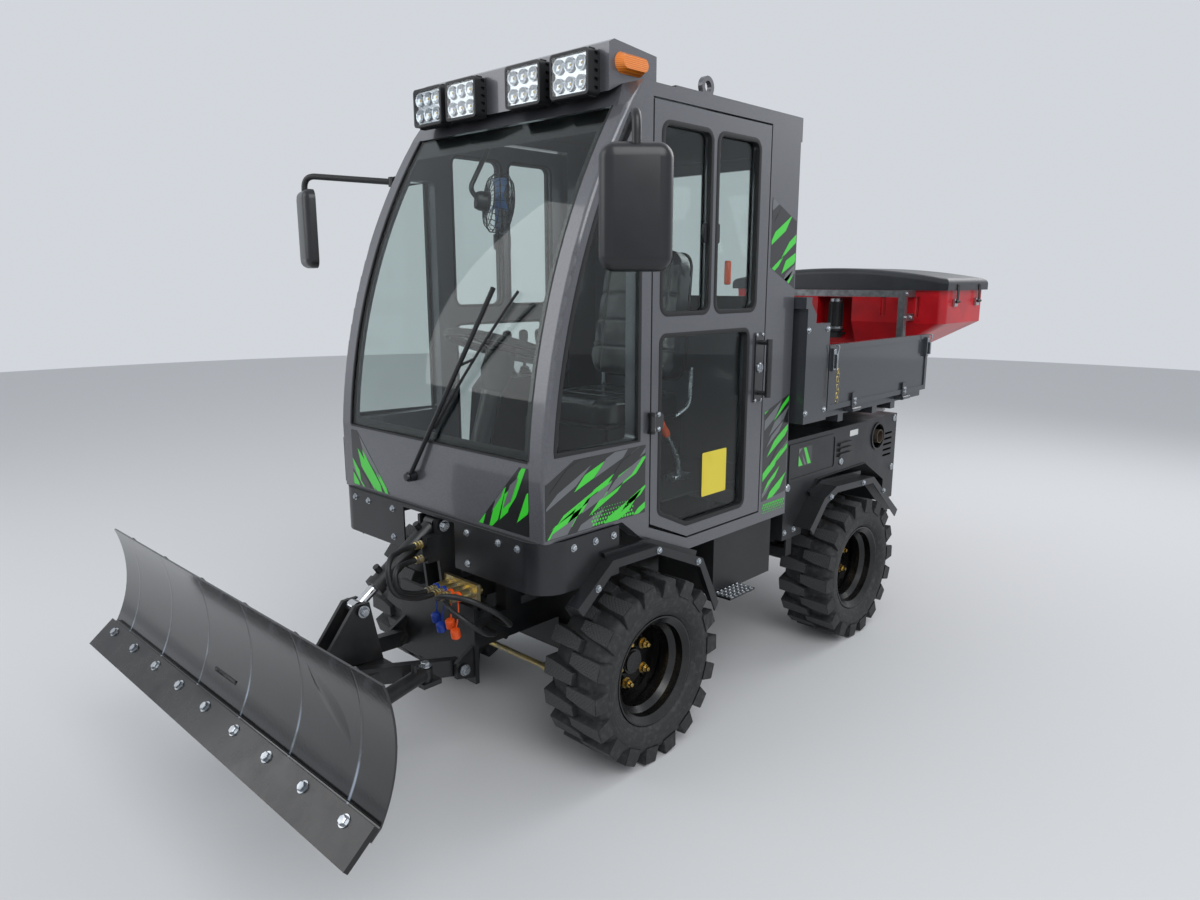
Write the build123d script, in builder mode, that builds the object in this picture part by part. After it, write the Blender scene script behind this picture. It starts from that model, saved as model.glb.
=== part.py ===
"""Compact municipal carrier with a front snow blade and a rear spreader.

Millimetres. +X is forward, +Y is the machine's left, +Z is up. The origin is on the ground in the
middle of the overall length and width, with every wheel straight ahead.
"""
from build123d import *
import os
from math import cos, hypot, pi, radians, sin, sqrt, tan

os.makedirs("parts", exist_ok=True)

# Running gear
front_axle_x = 641
wheelbase = 1300
rear_axle_x = front_axle_x - wheelbase
tyre_radius = 290
tyre_width = 215
carcass_radius = 272
wheel_y = 463
rim_radius = 171
rim_width = 178
rim_wall = 5
disc_inset = 52
hub_radius = 62
spindle_radius = 22
running_gap = 0.1
seat_gap = 0.3
lug_count = 18
lug_thickness = 34
kingpin_y = 322
kingpin_radius = 14
knuckle_height = 96
steering_arm = 190
tie_rod_radius = 9

# Chassis
rail_y = 160
rail_width = 50
rail_height = 90
rail_top = 470
rail_front_x = front_axle_x + 395
rail_rear_x = front_axle_x - 1800
plate = 5

# Cab
cab_half_width = 502
cab_wall = 32
pillar_width = 57
cab_front_x = front_axle_x + 409
cab_rear_x = front_axle_x - 791
cab_roof_z = 1988
windshield_foot_z = 990
windshield_head_x = front_axle_x + 86
windshield_head_z = 1919
windshield_bulge = 62
panel_foot_z = 774
sill_z = 618
floor_z = 700
glass = 5
door_front_x = front_axle_x - 15
door_rear_x = front_axle_x - 615
door_top_z = 1952
door_foot_z = 657
door_front_foot_z = 732
door_slope_x = front_axle_x - 201
door_thickness = 34
door_gap = 6
hinge_radius = 9
hinge_pin_radius = 4
hinge_length = 60

# Cargo bed and spreader
bed_front_x = front_axle_x - 812
bed_rear_x = front_axle_x - 1862
bed_half_width = 548
bed_floor_z = 985
bed_floor_depth = 35
bed_wall = 24
dropside_front_x = front_axle_x - 977
dropside_top_z = 1224
headboard_top_z = 1400
bed_pivot_x = bed_rear_x + 90
bed_pivot_z = 905
hopper_front_x = front_axle_x - 1982
hopper_rear_x = front_axle_x - 2440
hopper_half_width = 560
hopper_wall = 6
hopper_crease_z = 1262
hopper_top_z = 1410
hopper_outlet_z = 1000
hopper_outlet = 180
lid_skirt = 34
lid_crown_z = 1512
frame_x = front_axle_x - 1885
frame_leg_y = 408
frame_tube = 30

# Front attachment
lift_pivot_x = front_axle_x + 448
lift_pivot_z = 330
lift_pin_x = front_axle_x + 404
lift_pin_z = 736
lift_eye_x = front_axle_x + 684
lift_eye_z = 542
blade_pivot_x = front_axle_x + 952
blade_pivot_z = 420
blade_half_width = 750
blade_thickness = 5
pin_radius = 12


def side(y):
    """Plane across Y at y, with local x forward and local y up."""
    return Plane((0, y, 0), x_dir=(1, 0, 0), z_dir=(0, -1, 0))


def front(x):
    """Plane across X at x, with local x to the left and local y up."""
    return Plane((x, 0, 0), x_dir=(0, 1, 0), z_dir=(1, 0, 0))


def block(x0, x1, y0, y1, z0, z1, mode=Mode.ADD):
    """Rectangular block between two opposite corners."""
    with Locations(((x0 + x1) / 2, (y0 + y1) / 2, (z0 + z1) / 2)):
        Box(x1 - x0, y1 - y0, z1 - z0, mode=mode)


def plate_of(points, y0, y1, mode=Mode.ADD):
    """Plate between y0 and y1 with a side outline of x, z points."""
    with BuildSketch(side(y0)) as outline:
        Polygon(*points, align=None)
    extrude(outline.sketch, amount=-(y1 - y0), mode=mode)


def rod(start, end, radius, mode=Mode.ADD):
    """Round bar from one point to another."""
    way = Vector(*end) - Vector(*start)
    with BuildSketch(Plane(start, z_dir=way)) as section:
        Circle(radius)
    extrude(section.sketch, amount=way.length, mode=mode)


def across(x, z, radius, half_length, mode=Mode.ADD):
    """Round bar across the machine, centred on its middle plane."""
    rod((x, -half_length, z), (x, half_length, z), radius, mode)


# Wheels: one tyre and one rim, placed at each corner with their axis along Y. The tyre is flat-faced, one
# facet of the carcass under each lug, and solid down to the bead seat.
facets = 2 * lug_count
half_facet = pi / facets
lug_top = tyre_radius - 0.1
lug_seat = carcass_radius - 40
half_tread = tyre_width / 2
bead_seat = 153.6
bead = rim_width / 2
bead_half = bead - 16.6
shoulder_radius = 230
lug_heel = -8
lug_lean = 6
lug_outline = [(lug_heel, 8 - lug_thickness / 2), (half_tread, -lug_thickness / 2 - lug_lean),
               (half_tread, lug_thickness / 2 - lug_lean), (lug_heel, lug_thickness / 2 + 2)]
tyre_outline = [(bead_seat, bead_half), (shoulder_radius, half_tread - 2), (carcass_radius, half_tread - 28)]

with BuildPart() as tyre:
    with BuildLine(Plane.XY) as bead_ring:
        corners = [(bead_seat * cos(half_facet * n) / cos(half_facet), bead_seat * sin(half_facet * n) / cos(half_facet))
                   for n in range(1, 2 * facets, 2)]
        Polyline((bead_seat, 0), *corners, (bead_seat, 0))
    with BuildSketch(Plane.XZ):
        Polygon(*tyre_outline, *[(r, -y) for r, y in reversed(tyre_outline)], align=None)
    sweep(path=bead_ring.wires()[0], transition=Transition.RIGHT)
    for out, turn in ((1, 0), (-1, 180 / lug_count)):
        with BuildPart(mode=Mode.PRIVATE) as lug:
            with BuildSketch(Plane((lug_seat, 0, 0), x_dir=(0, 0, out), z_dir=(1, 0, 0))):
                Polygon(*lug_outline, align=None)
            extrude(amount=lug_top - lug_seat)
        with PolarLocations(0, lug_count, start_angle=turn):
            add(lug.part)

# Deep welded disc rim with its hub, open towards the outside
disc = -disc_inset
hub_bore = spindle_radius + running_gap
rim_outline = [(rim_radius, -bead), (rim_radius - rim_wall, -bead), (147, -bead + 14), (145, -20), (129, 0), (129, 34), (145, 50),
               (147, bead - 14), (rim_radius - rim_wall, bead), (rim_radius, bead), (rim_radius, bead - 6), (153, bead - 16),
               (152, 48), (137, 34), (137, 0), (152, -20), (153, -bead + 16), (rim_radius, -bead + 6), (rim_radius, -bead)]
disc_outline = [(hub_bore, disc), (146, disc), (147, disc + 8), (110, disc + 12), (92, disc + 24), (hub_radius - 16, disc + 24),
                (hub_radius - 22, disc + 46), (hub_bore, disc + 46), (hub_bore, disc)]
with BuildPart() as rim:
    with BuildSketch(Plane.XZ):
        for outline in (rim_outline, disc_outline):
            with BuildLine():
                Polyline(*outline)
            make_face()
    revolve(axis=Axis.Z)
    with BuildSketch(Plane.XY.offset(disc - 8)):
        with PolarLocations(119, 4, start_angle=45):
            Circle(10)
    extrude(amount=40, mode=Mode.SUBTRACT)
    with BuildSketch(Plane.XY.offset(disc + 23)):
        with PolarLocations(70, 5):
            RegularPolygon(11, 6)
    extrude(amount=13)
    with BuildSketch(Plane.XY.offset(disc + 46)):
        Circle(34)
    extrude(amount=6)

for place, x, out in (("front_left", front_axle_x, 1), ("front_right", front_axle_x, -1),
                      ("rear_left", rear_axle_x, 1), ("rear_right", rear_axle_x, -1)):
    corner = Plane((x, out * wheel_y, tyre_radius), x_dir=(1, 0, 0), z_dir=(0, out, 0))
    for name, piece in ((f"tyre_{place}", tyre.part), (f"rim_{place}", rim.part)):
        placed = corner.location * piece
        placed.label = name
        export_step(placed, f"parts/{name}.step")

disc_y = wheel_y - disc_inset
spindle_end_y = disc_y + 40
yoke_gap = 3
yoke_plate = 14

# Front axle: beam with a yoke at each end, and a rigid rear beam with a spindle for each wheel
with BuildPart() as axles:
    block(front_axle_x - 38, front_axle_x + 38, -230, 230, tyre_radius - 38, tyre_radius + 38)
    for out in (1, -1):
        inner, outer = sorted((out * 228, out * 262))
        block(front_axle_x - 34, front_axle_x + 34, inner, outer, tyre_radius - 70, tyre_radius + 70)
        for level in (-1, 1):
            z = tyre_radius + level * (knuckle_height / 2 + yoke_gap + yoke_plate / 2)
            inner, outer = sorted((out * 240, out * (kingpin_y + 28)))
            block(front_axle_x - 30, front_axle_x + 30, inner, outer, z - yoke_plate / 2, z + yoke_plate / 2)
        rod((front_axle_x, out * kingpin_y, tyre_radius - knuckle_height / 2 - yoke_gap - yoke_plate - 8),
            (front_axle_x, out * kingpin_y, tyre_radius + knuckle_height / 2 + yoke_gap + yoke_plate + 8), kingpin_radius)
    block(front_axle_x - 60, front_axle_x + 60, -rail_y - rail_width / 2, rail_y + rail_width / 2,
          tyre_radius + 36, rail_top - rail_height)
    across(rear_axle_x, tyre_radius, 42, disc_y - 6)
    across(rear_axle_x, tyre_radius, spindle_radius, spindle_end_y)
    with Locations((rear_axle_x, 0, tyre_radius)):
        Sphere(92)
    for out in (1, -1):
        y0, y1 = sorted((out * (rail_y - rail_width / 2), out * (rail_y + rail_width / 2)))
        block(rear_axle_x - 55, rear_axle_x + 55, y0, y1, tyre_radius + 30, rail_top - rail_height)
axles.part.label = "axles"
export_step(axles.part, "parts/axles.step")

# Knuckles with their spindles and steering arms
tie_rod_x = front_axle_x + steering_arm
arm_foot_z = tyre_radius - 46
arm_thickness = 16
tie_rod_z = arm_foot_z + arm_thickness + 14
for place, out in (("left", 1), ("right", -1)):
    with BuildPart() as knuckle:
        rod((front_axle_x, out * kingpin_y, tyre_radius - knuckle_height / 2),
            (front_axle_x, out * kingpin_y, tyre_radius + knuckle_height / 2), 27)
        rod((front_axle_x, out * kingpin_y, tyre_radius), (front_axle_x, out * (disc_y - 6), tyre_radius), 34)
        rod((front_axle_x, out * kingpin_y, tyre_radius), (front_axle_x, out * spindle_end_y, tyre_radius), spindle_radius)
        low, high = arm_foot_z, arm_foot_z + arm_thickness
        inner, outer = sorted((out * (kingpin_y - 20), out * (kingpin_y + 20)))
        block(front_axle_x, tie_rod_x, inner, outer, low, high)
        rod((tie_rod_x, out * kingpin_y, low), (tie_rod_x, out * kingpin_y, high), 20)
        rod((front_axle_x, out * kingpin_y, tyre_radius - 60), (front_axle_x, out * kingpin_y, tyre_radius + 60),
            kingpin_radius + running_gap, Mode.SUBTRACT)
    knuckle.part.label = f"knuckle_{place}"
    export_step(knuckle.part, f"parts/knuckle_{place}.step")

# Tie rod from knuckle to knuckle, resting on the arms
with BuildPart() as tie_rod:
    rod((tie_rod_x, -kingpin_y, tie_rod_z), (tie_rod_x, kingpin_y, tie_rod_z), tie_rod_radius)
    for out in (1, -1):
        rod((tie_rod_x, out * kingpin_y, tie_rod_z - 13.5), (tie_rod_x, out * kingpin_y, tie_rod_z + 12), 15)
        rod((tie_rod_x, out * (kingpin_y - 70), tie_rod_z), (tie_rod_x, out * (kingpin_y - 18), tie_rod_z), 13)
tie_rod.part.label = "tie_rod"
export_step(tie_rod.part, "parts/tie_rod.step")

# Chassis frame: two box rails, cross members, tipping brackets and the tow hitch
engine_foot_z = rail_top - 60
cover_front_x = cab_rear_x - 22
cover_rear_x = front_axle_x - 1740
cover_half_width = 482
with BuildPart() as chassis_frame:
    for out in (1, -1):
        y0, y1 = sorted((out * (rail_y - rail_width / 2), out * (rail_y + rail_width / 2)))
        block(rail_rear_x, rail_front_x, y0, y1, rail_top - rail_height, rail_top)
        block(front_axle_x + 220, front_axle_x + 280, y0, y1, rail_top, panel_foot_z - seat_gap)
        block(cab_rear_x, cab_rear_x + 40, y0, y1, rail_top, sill_z - seat_gap)
        for x in (front_axle_x - 1180, front_axle_x - 1580):
            inner_face, outer_face = sorted((out * (rail_y - 65), out * (rail_y - 20)))
            block(x - 25, x + 25, inner_face, outer_face, engine_foot_z - 15, engine_foot_z - seat_gap)
        for x in (cover_front_x - 60, cover_rear_x + 40):
            inner_face, outer_face = sorted((out * rail_y, out * (cover_half_width - plate - seat_gap)))
            block(x - 20, x + 20, inner_face, outer_face, rail_top - 40, rail_top - 10)
            inner_face, outer_face = sorted((out * (cover_half_width - plate - 8), out * (cover_half_width - plate - seat_gap)))
            block(x - 20, x + 20, inner_face, outer_face, rail_top - 40, rail_top + 110)
        block(bed_pivot_x - 40, bed_pivot_x + 40, y0, y1, rail_top, bed_pivot_z - 45)
        plate_of([(bed_pivot_x - 40, bed_pivot_z - 45), (bed_pivot_x + 40, bed_pivot_z - 45),
                  (bed_pivot_x + 22, bed_pivot_z + 22), (bed_pivot_x - 22, bed_pivot_z + 22)],
                 *sorted((out * (rail_y - 7), out * (rail_y + 7))))
        y0, y1 = sorted((out * (rail_y - 20), out * (rail_y + 20)))
        block(front_axle_x - 1000, front_axle_x - 930, y0, y1, rail_top, bed_floor_z - bed_floor_depth - 24)
    for x in (rail_front_x - 30, front_axle_x - 330, front_axle_x - 960, rail_rear_x + 24):
        block(x - 25, x + 25, -rail_y, rail_y, rail_top - rail_height + 10, rail_top - 10)
    block(rail_rear_x - 90, rail_rear_x, -40, 40, rail_top - 60, rail_top - 46)
    block(rail_rear_x - 90, rail_rear_x, -40, 40, rail_top - 24, rail_top - 10)
    rod((rail_rear_x - 60, 0, rail_top - 70), (rail_rear_x - 60, 0, rail_top), 13, Mode.SUBTRACT)
    across(bed_pivot_x, bed_pivot_z, pin_radius, rail_y)
chassis_frame.part.label = "chassis_frame"
export_step(chassis_frame.part, "parts/chassis_frame.step")

# Engine: one plain block at its real place
with BuildPart() as engine_block:
    block(front_axle_x - 1640, front_axle_x - 1120, -130, 130, engine_foot_z, engine_foot_z + 390)
engine_block.part.label = "engine_block"
export_step(engine_block.part, "parts/engine_block.step")

# Engine cover: open-bottomed louvred hood on the frame, behind the cab
cover_top_z = 880
cover_foot_z = 500
with BuildPart() as engine_cover:
    block(cover_rear_x, cover_front_x, -cover_half_width, cover_half_width, cover_foot_z, cover_top_z)
    block(cover_rear_x + plate, cover_front_x - plate, -cover_half_width + plate, cover_half_width - plate,
          cover_foot_z - 1, cover_top_z - plate, Mode.SUBTRACT)
    block(bed_pivot_x - 60, bed_pivot_x + 60, -240, 240, cover_foot_z, cover_top_z + 1, Mode.SUBTRACT)
    block(front_axle_x - 1020, front_axle_x - 910, -240, 240, cover_top_z - 20, cover_top_z + 1, Mode.SUBTRACT)
    arch = [(rear_axle_x + 345, cover_foot_z - 1), (rear_axle_x + 345, 600), (rear_axle_x + 250, 700),
            (rear_axle_x - 150, 700), (rear_axle_x - 330, 600), (rear_axle_x - 330, cover_foot_z - 1)]
    for y in (-cover_half_width - 1, cover_half_width - 200):
        plate_of(arch, y, y + 201, Mode.SUBTRACT)
    with BuildSketch(side(-cover_half_width - 1)):
        for x in (front_axle_x - 1660,):
            with Locations(*[(x, 800 - 24 * n) for n in range(5)]):
                SlotOverall(80, 9)
        with Locations((front_axle_x - 1560, 800)):
            Circle(52)
    extrude(amount=-2 * cover_half_width - 2, mode=Mode.SUBTRACT)
    for out in (1, -1):
        y0, y1 = sorted((out * (cover_half_width - 1), out * (cover_half_width + 9)))
        for n in range(3):
            x = front_axle_x - 1268
            z = 804 - 22 * n
            plate_of([(x - 55, z), (x + 55, z), (x + 55, z + 3), (x + 48, z + 12), (x - 48, z + 12), (x - 55, z + 3)], y0, y1)
        y0, y1 = sorted((out * (cover_half_width - 1), out * (cover_half_width + 4)))
        plate_of([(cover_front_x - 24, 862), (front_axle_x - 1170, 862), (front_axle_x - 1190, 846), (front_axle_x - 1190, 734),
                  (front_axle_x - 1170, 718), (cover_front_x - 24, 718)], y0, y1)
        plate_of([(cover_front_x - 36, 850), (front_axle_x - 1172, 850), (front_axle_x - 1178, 842), (front_axle_x - 1178, 738),
                  (front_axle_x - 1172, 730), (cover_front_x - 36, 730)], *sorted((out * (cover_half_width + 1), out * (cover_half_width + 5))),
                 Mode.SUBTRACT)
    with BuildSketch(side(-cover_half_width - 5)):
        with Locations((front_axle_x - 1560, 800)):
            Circle(60)
            Circle(52, mode=Mode.SUBTRACT)
    extrude(amount=-6)
    with BuildSketch(side(cover_half_width - 1)):
        with Locations((front_axle_x - 1560, 800)):
            Circle(60)
            Circle(52, mode=Mode.SUBTRACT)
    extrude(amount=-6)
engine_cover.part.label = "engine_cover"
export_step(engine_cover.part, "parts/engine_cover.step")

# Cab side outline, from the foot of the front panel round the roof to the sill
pillar_mid = ((cab_front_x + windshield_head_x) / 2 + windshield_bulge, (windshield_foot_z + windshield_head_z) / 2 + 18)
pillar_arc = ThreePointArc((cab_front_x, windshield_foot_z), pillar_mid, (windshield_head_x, windshield_head_z), mode=Mode.PRIVATE)
pillar_centre = pillar_arc.arc_center
pillar_radius = pillar_arc.radius
roof_front_x = windshield_head_x - 60


def pillar_x(z, inset):
    """Forward reach of the pillar's arc at height z, moved inwards by inset."""
    return pillar_centre.X + sqrt((pillar_radius - inset) ** 2 - (z - pillar_centre.Y) ** 2)



def cab_outline(inset):
    """Closed side outline of the cab, moved inwards by inset."""
    foot = panel_foot_z + (inset if inset else 0)
    with BuildLine() as outline:
        Polyline((roof_front_x, cab_roof_z - inset), (cab_rear_x + inset, cab_roof_z - inset),
                 (cab_rear_x + inset, sill_z + inset), (door_slope_x, sill_z + inset),
                 (door_front_x + 30, foot - 70), (door_front_x + 120, foot), (cab_front_x - inset, foot),
                 (cab_front_x - inset, windshield_foot_z))
        ThreePointArc((cab_front_x - inset, windshield_foot_z), (pillar_mid[0] - inset, pillar_mid[1] - inset * 0.4),
                      (windshield_head_x - inset, windshield_head_z))
        Line((windshield_head_x - inset, windshield_head_z), (roof_front_x, cab_roof_z - inset))
    return outline.line


door_outline = [(door_front_x, door_front_foot_z), (door_front_x, door_top_z), (door_rear_x, door_top_z),
                (door_rear_x, door_foot_z), (door_slope_x, door_foot_z)]

# Cab frame: both side frames with their pillars, joined by the cross members
quarter_inset = 36
quarter_foot_z = windshield_foot_z + 12
quarter_head_z = 1790
quarter_mid_z = (quarter_foot_z + quarter_head_z) / 2
quarter_rear_x = door_front_x + 46
with BuildSketch() as quarter_light:
    with BuildLine():
        Polyline((pillar_x(quarter_head_z, quarter_inset), quarter_head_z), (quarter_rear_x, quarter_head_z),
                 (quarter_rear_x, quarter_foot_z), (pillar_x(quarter_foot_z, quarter_inset), quarter_foot_z))
        ThreePointArc((pillar_x(quarter_foot_z, quarter_inset), quarter_foot_z), (pillar_x(quarter_mid_z, quarter_inset), quarter_mid_z),
                      (pillar_x(quarter_head_z, quarter_inset), quarter_head_z))
    make_face()
    fillet(quarter_light.vertices(), 16)
with BuildPart() as cab_frame:
    with BuildSketch(side(cab_half_width - pillar_width)):
        with BuildLine():
            add(cab_outline(0))
        make_face()
        with BuildLine():
            Polyline(*door_outline, door_outline[0])
        make_face(mode=Mode.SUBTRACT)
        add(quarter_light.sketch, mode=Mode.SUBTRACT)
    extrude(amount=-pillar_width)
    rim_edges = cab_frame.edges().filter_by(GeomType.CIRCLE).filter_by_position(Axis.Y, cab_half_width, cab_half_width)
    fillet(rim_edges.sort_by(Edge.length)[-1:], 14)
    mirror(about=Plane.XZ)
    inner = cab_half_width - pillar_width
    block(cab_rear_x, cab_rear_x + 40, -inner, inner, cab_roof_z - 110, cab_roof_z)
    block(cab_rear_x, cab_rear_x + 40, -inner, inner, sill_z, sill_z + 60)
    plate_of([(roof_front_x - 30, cab_roof_z), (roof_front_x, cab_roof_z), (windshield_head_x, windshield_head_z + 0.5),
              (windshield_head_x - 34, windshield_head_z + 0.5), (roof_front_x - 30, windshield_head_z + 36)], -inner, inner)
cab_frame.part.label = "cab_frame"
export_step(cab_frame.part, "parts/cab_frame.step")

# Cab floor
with BuildPart() as cab_floor:
    block(cab_rear_x + 41, cab_front_x - 40, -inner + 0.3, inner - 0.3, panel_foot_z, panel_foot_z + 6)
cab_floor.part.label = "cab_floor"
export_step(cab_floor.part, "parts/cab_floor.step")

# Cab roof panel with its drip edge and the two lifting eyes
bar_rear_x = front_axle_x - 118
eye_x = front_axle_x - 330
eye_y = 443
eye_z = cab_roof_z + 42
eye_bore = 16
eye_thickness = 16
with BuildPart() as cab_roof:
    block(cab_rear_x - 16, bar_rear_x - 4, -cab_half_width + 8, cab_half_width - 8, cab_roof_z, cab_roof_z + 8)
    block(cab_rear_x - 22, cab_rear_x - 12, -cab_half_width + 8, cab_half_width - 8, cab_roof_z - 70, cab_roof_z + 8)
    for out in (1, -1):
        inner_face, outer_face = sorted((out * (eye_y - eye_thickness / 2), out * (eye_y + eye_thickness / 2)))
        rod((eye_x, inner_face, eye_z), (eye_x, outer_face, eye_z), eye_bore + 14)
        block(eye_x - 26, eye_x + 26, inner_face, outer_face, cab_roof_z + 7, eye_z)
        rod((eye_x, inner_face, eye_z), (eye_x, outer_face, eye_z), eye_bore, Mode.SUBTRACT)
cab_roof.part.label = "cab_roof"
export_step(cab_roof.part, "parts/cab_roof.step")

# Front panel under the windshield
with BuildPart() as cab_front_panel:
    block(cab_front_x - 30, cab_front_x, -inner, inner, panel_foot_z, windshield_foot_z)
cab_front_panel.part.label = "cab_front_panel"
export_step(cab_front_panel.part, "parts/cab_front_panel.step")

# Rear wall with its window opening
rear_window_foot_z = 1290
rear_window_head_z = 1840
with BuildPart() as cab_rear_wall:
    block(cab_rear_x, cab_rear_x + 20, -inner, inner, sill_z + 60, cab_roof_z - 110)
    block(cab_rear_x - 1, cab_rear_x + 21, -380, 380, rear_window_foot_z, rear_window_head_z, Mode.SUBTRACT)
cab_rear_wall.part.label = "cab_rear_wall"
export_step(cab_rear_wall.part, "parts/cab_rear_wall.step")

# Windshield: curved one way, between the pillars
with BuildPart() as windshield:
    with BuildSketch(side(-inner)):
        with BuildLine():
            ThreePointArc((cab_front_x - 4, windshield_foot_z), (pillar_mid[0] - 4, pillar_mid[1] - 2),
                          (windshield_head_x - 4, windshield_head_z))
            Line((windshield_head_x - 4, windshield_head_z), (windshield_head_x - 4 - glass, windshield_head_z))
            ThreePointArc((windshield_head_x - 4 - glass, windshield_head_z),
                          (pillar_mid[0] - 4 - glass, pillar_mid[1] - 2 - glass * 0.4),
                          (cab_front_x - 4 - glass, windshield_foot_z))
            Line((cab_front_x - 4 - glass, windshield_foot_z), (cab_front_x - 4, windshield_foot_z))
        make_face()
    extrude(amount=-2 * inner)
windshield.part.label = "windshield"
export_step(windshield.part, "parts/windshield.step")

# Fixed windows: a quarter light between pillar and door on each side, and the rear window
with BuildPart() as fixed_windows:
    with BuildSketch(side(cab_half_width - 12)):
        add(quarter_light.sketch)
    extrude(amount=-glass)
    mirror(about=Plane.XZ)
    block(cab_rear_x + 8, cab_rear_x + 8 + glass, -380, 380, rear_window_foot_z, rear_window_head_z)
fixed_windows.part.label = "fixed_windows"
export_step(fixed_windows.part, "parts/fixed_windows.step")

# Doors: welded frame with two openings, hung at the front
hinge_x = door_front_x + 2
hinge_y = cab_half_width + 12
hinge_levels = (1050, 1760)
stile = 40
pane_split_x = front_axle_x - 307
pane_foot_z = 1363
pane_head_z = door_top_z - 60
pane_front_x = door_front_x - door_gap - stile
pane_rear_x = door_rear_x + door_gap + 62
lower_glass = [(pane_front_x, 1300), (door_rear_x + door_gap + 96, 1300), (door_rear_x + door_gap + 96, door_foot_z + door_gap + 42),
               (door_slope_x + 4, door_foot_z + door_gap + 42), (pane_front_x, door_front_foot_z + door_gap + 30)]
door_panel = [(door_front_x - door_gap, door_front_foot_z + door_gap + 3), (door_front_x - door_gap, door_top_z - door_gap),
              (door_rear_x + door_gap, door_top_z - door_gap), (door_rear_x + door_gap, door_foot_z + door_gap),
              (door_slope_x - 1, door_foot_z + door_gap)]
with BuildSketch() as door_lights:
    for x0, x1 in ((pane_rear_x, pane_split_x - 16), (pane_split_x + 16, pane_front_x)):
        with Locations(((x0 + x1) / 2, (pane_foot_z + pane_head_z) / 2)):
            RectangleRounded(x1 - x0, pane_head_z - pane_foot_z, 30)
    Polygon(*lower_glass, align=None)
    fillet(door_lights.vertices().filter_by_position(Axis.Y, 0, 1310), 24)
handle_x = door_rear_x + door_gap + 34
handle_levels = (1085, 1255)
handle_reach = 44
for place, out in (("left", 1), ("right", -1)):
    y0, y1 = sorted((out * (cab_half_width - door_thickness), out * cab_half_width))
    with BuildPart() as door:
        plate_of(door_panel, y0, y1)
        with BuildSketch(side(y0 - 1)):
            add(door_lights.sketch)
        extrude(amount=-door_thickness - 2, mode=Mode.SUBTRACT)
        grip_y = out * (cab_half_width + handle_reach)
        for z in handle_levels:
            rod((handle_x, out * (cab_half_width - 1), z), (handle_x, grip_y, z), 8)
        rod((handle_x, grip_y, handle_levels[0] - 12), (handle_x, grip_y, handle_levels[1] + 12), 11)
        leaf0, leaf1 = sorted((out * (cab_half_width - 1), out * (cab_half_width + 7)))
        block(handle_x - 24, handle_x + 24, leaf0, leaf1, handle_levels[0] - 30, handle_levels[1] + 30)
        for z in hinge_levels:
            leaf0, leaf1 = sorted((out * (cab_half_width - 2), out * (cab_half_width + 4)))
            block(hinge_x - 60, hinge_x - 9, leaf0, leaf1, z - 22, z + 22)
            leaf0, leaf1 = sorted((out * (cab_half_width + 1), out * hinge_y))
            block(hinge_x - 12, hinge_x - 5, leaf0, leaf1, z - 22, z + 22)
            rod((hinge_x, out * hinge_y, z - 22), (hinge_x, out * hinge_y, z + 22), hinge_radius)
            rod((hinge_x, out * hinge_y, z - 40), (hinge_x, out * hinge_y, z + 40),
                hinge_pin_radius + running_gap, Mode.SUBTRACT)
    door.part.label = f"door_{place}"
    export_step(door.part, f"parts/door_{place}.step")
    with BuildPart() as pane:
        with BuildSketch(side(out * (cab_half_width - 20))):
            add(door_lights.sketch)
        extrude(amount=-out * glass)
    pane.part.label = f"door_{place}_glass"
    export_step(pane.part, f"parts/door_{place}_glass.step")

# Hinge brackets of the doors, with their pins, on the cab
with BuildPart() as door_hinges:
    for z in hinge_levels:
        for level in (-1, 1):
            z0, z1 = sorted((z + level * 23, z + level * 31))
            block(hinge_x - 9, hinge_x + 9, cab_half_width, hinge_y, z0, z1)
            rod((hinge_x, hinge_y, z0), (hinge_x, hinge_y, z1), hinge_radius)
        rod((hinge_x, hinge_y, z - 31), (hinge_x, hinge_y, z + 31), hinge_pin_radius)
    mirror(about=Plane.XZ)
door_hinges.part.label = "door_hinges"
export_step(door_hinges.part, "parts/door_hinges.step")

# Light bar on the roof's front edge, with four work lamps and two markers
bar_front_x = front_axle_x + 80
bar_half_width = 425
with BuildPart() as light_bar:
    plate_of([(bar_front_x, 1962), (bar_front_x, 2086), (bar_front_x - 20, 2096), (bar_rear_x, 2080),
              (bar_rear_x, cab_roof_z + seat_gap), (roof_front_x, cab_roof_z + seat_gap)], -bar_half_width, bar_half_width)
light_bar.part.label = "light_bar"
export_step(light_bar.part, "parts/light_bar.step")
lamp_width = 150
lamp_height = 118
lamp_mid_z = 2012
lamp_depth = 46
with BuildPart() as work_lamps:
    for y in (-340, -166, 124, 316):
        with BuildSketch(front(bar_front_x)):
            with Locations((y, lamp_mid_z)):
                RectangleRounded(lamp_width, lamp_height, 12)
        extrude(amount=lamp_depth)
        with BuildSketch(front(bar_front_x + lamp_depth - 9)):
            with Locations((y, lamp_mid_z)):
                RectangleRounded(lamp_width - 16, lamp_height - 16, 8)
        extrude(amount=10, mode=Mode.SUBTRACT)
        for level in range(5):
            z = lamp_mid_z - lamp_height / 2 + 14 + 22 * level
            block(bar_front_x + 8, bar_front_x + 22, y - lamp_width / 2 - 1, y - lamp_width / 2 + 7, z, z + 9, Mode.SUBTRACT)
            block(bar_front_x + 8, bar_front_x + 22, y + lamp_width / 2 - 7, y + lamp_width / 2 + 1, z, z + 9, Mode.SUBTRACT)
work_lamps.part.label = "work_lamps"
export_step(work_lamps.part, "parts/work_lamps.step")
with BuildPart() as marker_lamps:
    with BuildSketch(side(bar_half_width + seat_gap)):
        with Locations((bar_front_x - 84, 2040)):
            SlotOverall(124, 56)
    extrude(amount=-24, taper=24)
    mirror(about=Plane.XZ)
marker_lamps.part.label = "marker_lamps"
export_step(marker_lamps.part, "parts/marker_lamps.step")

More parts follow.
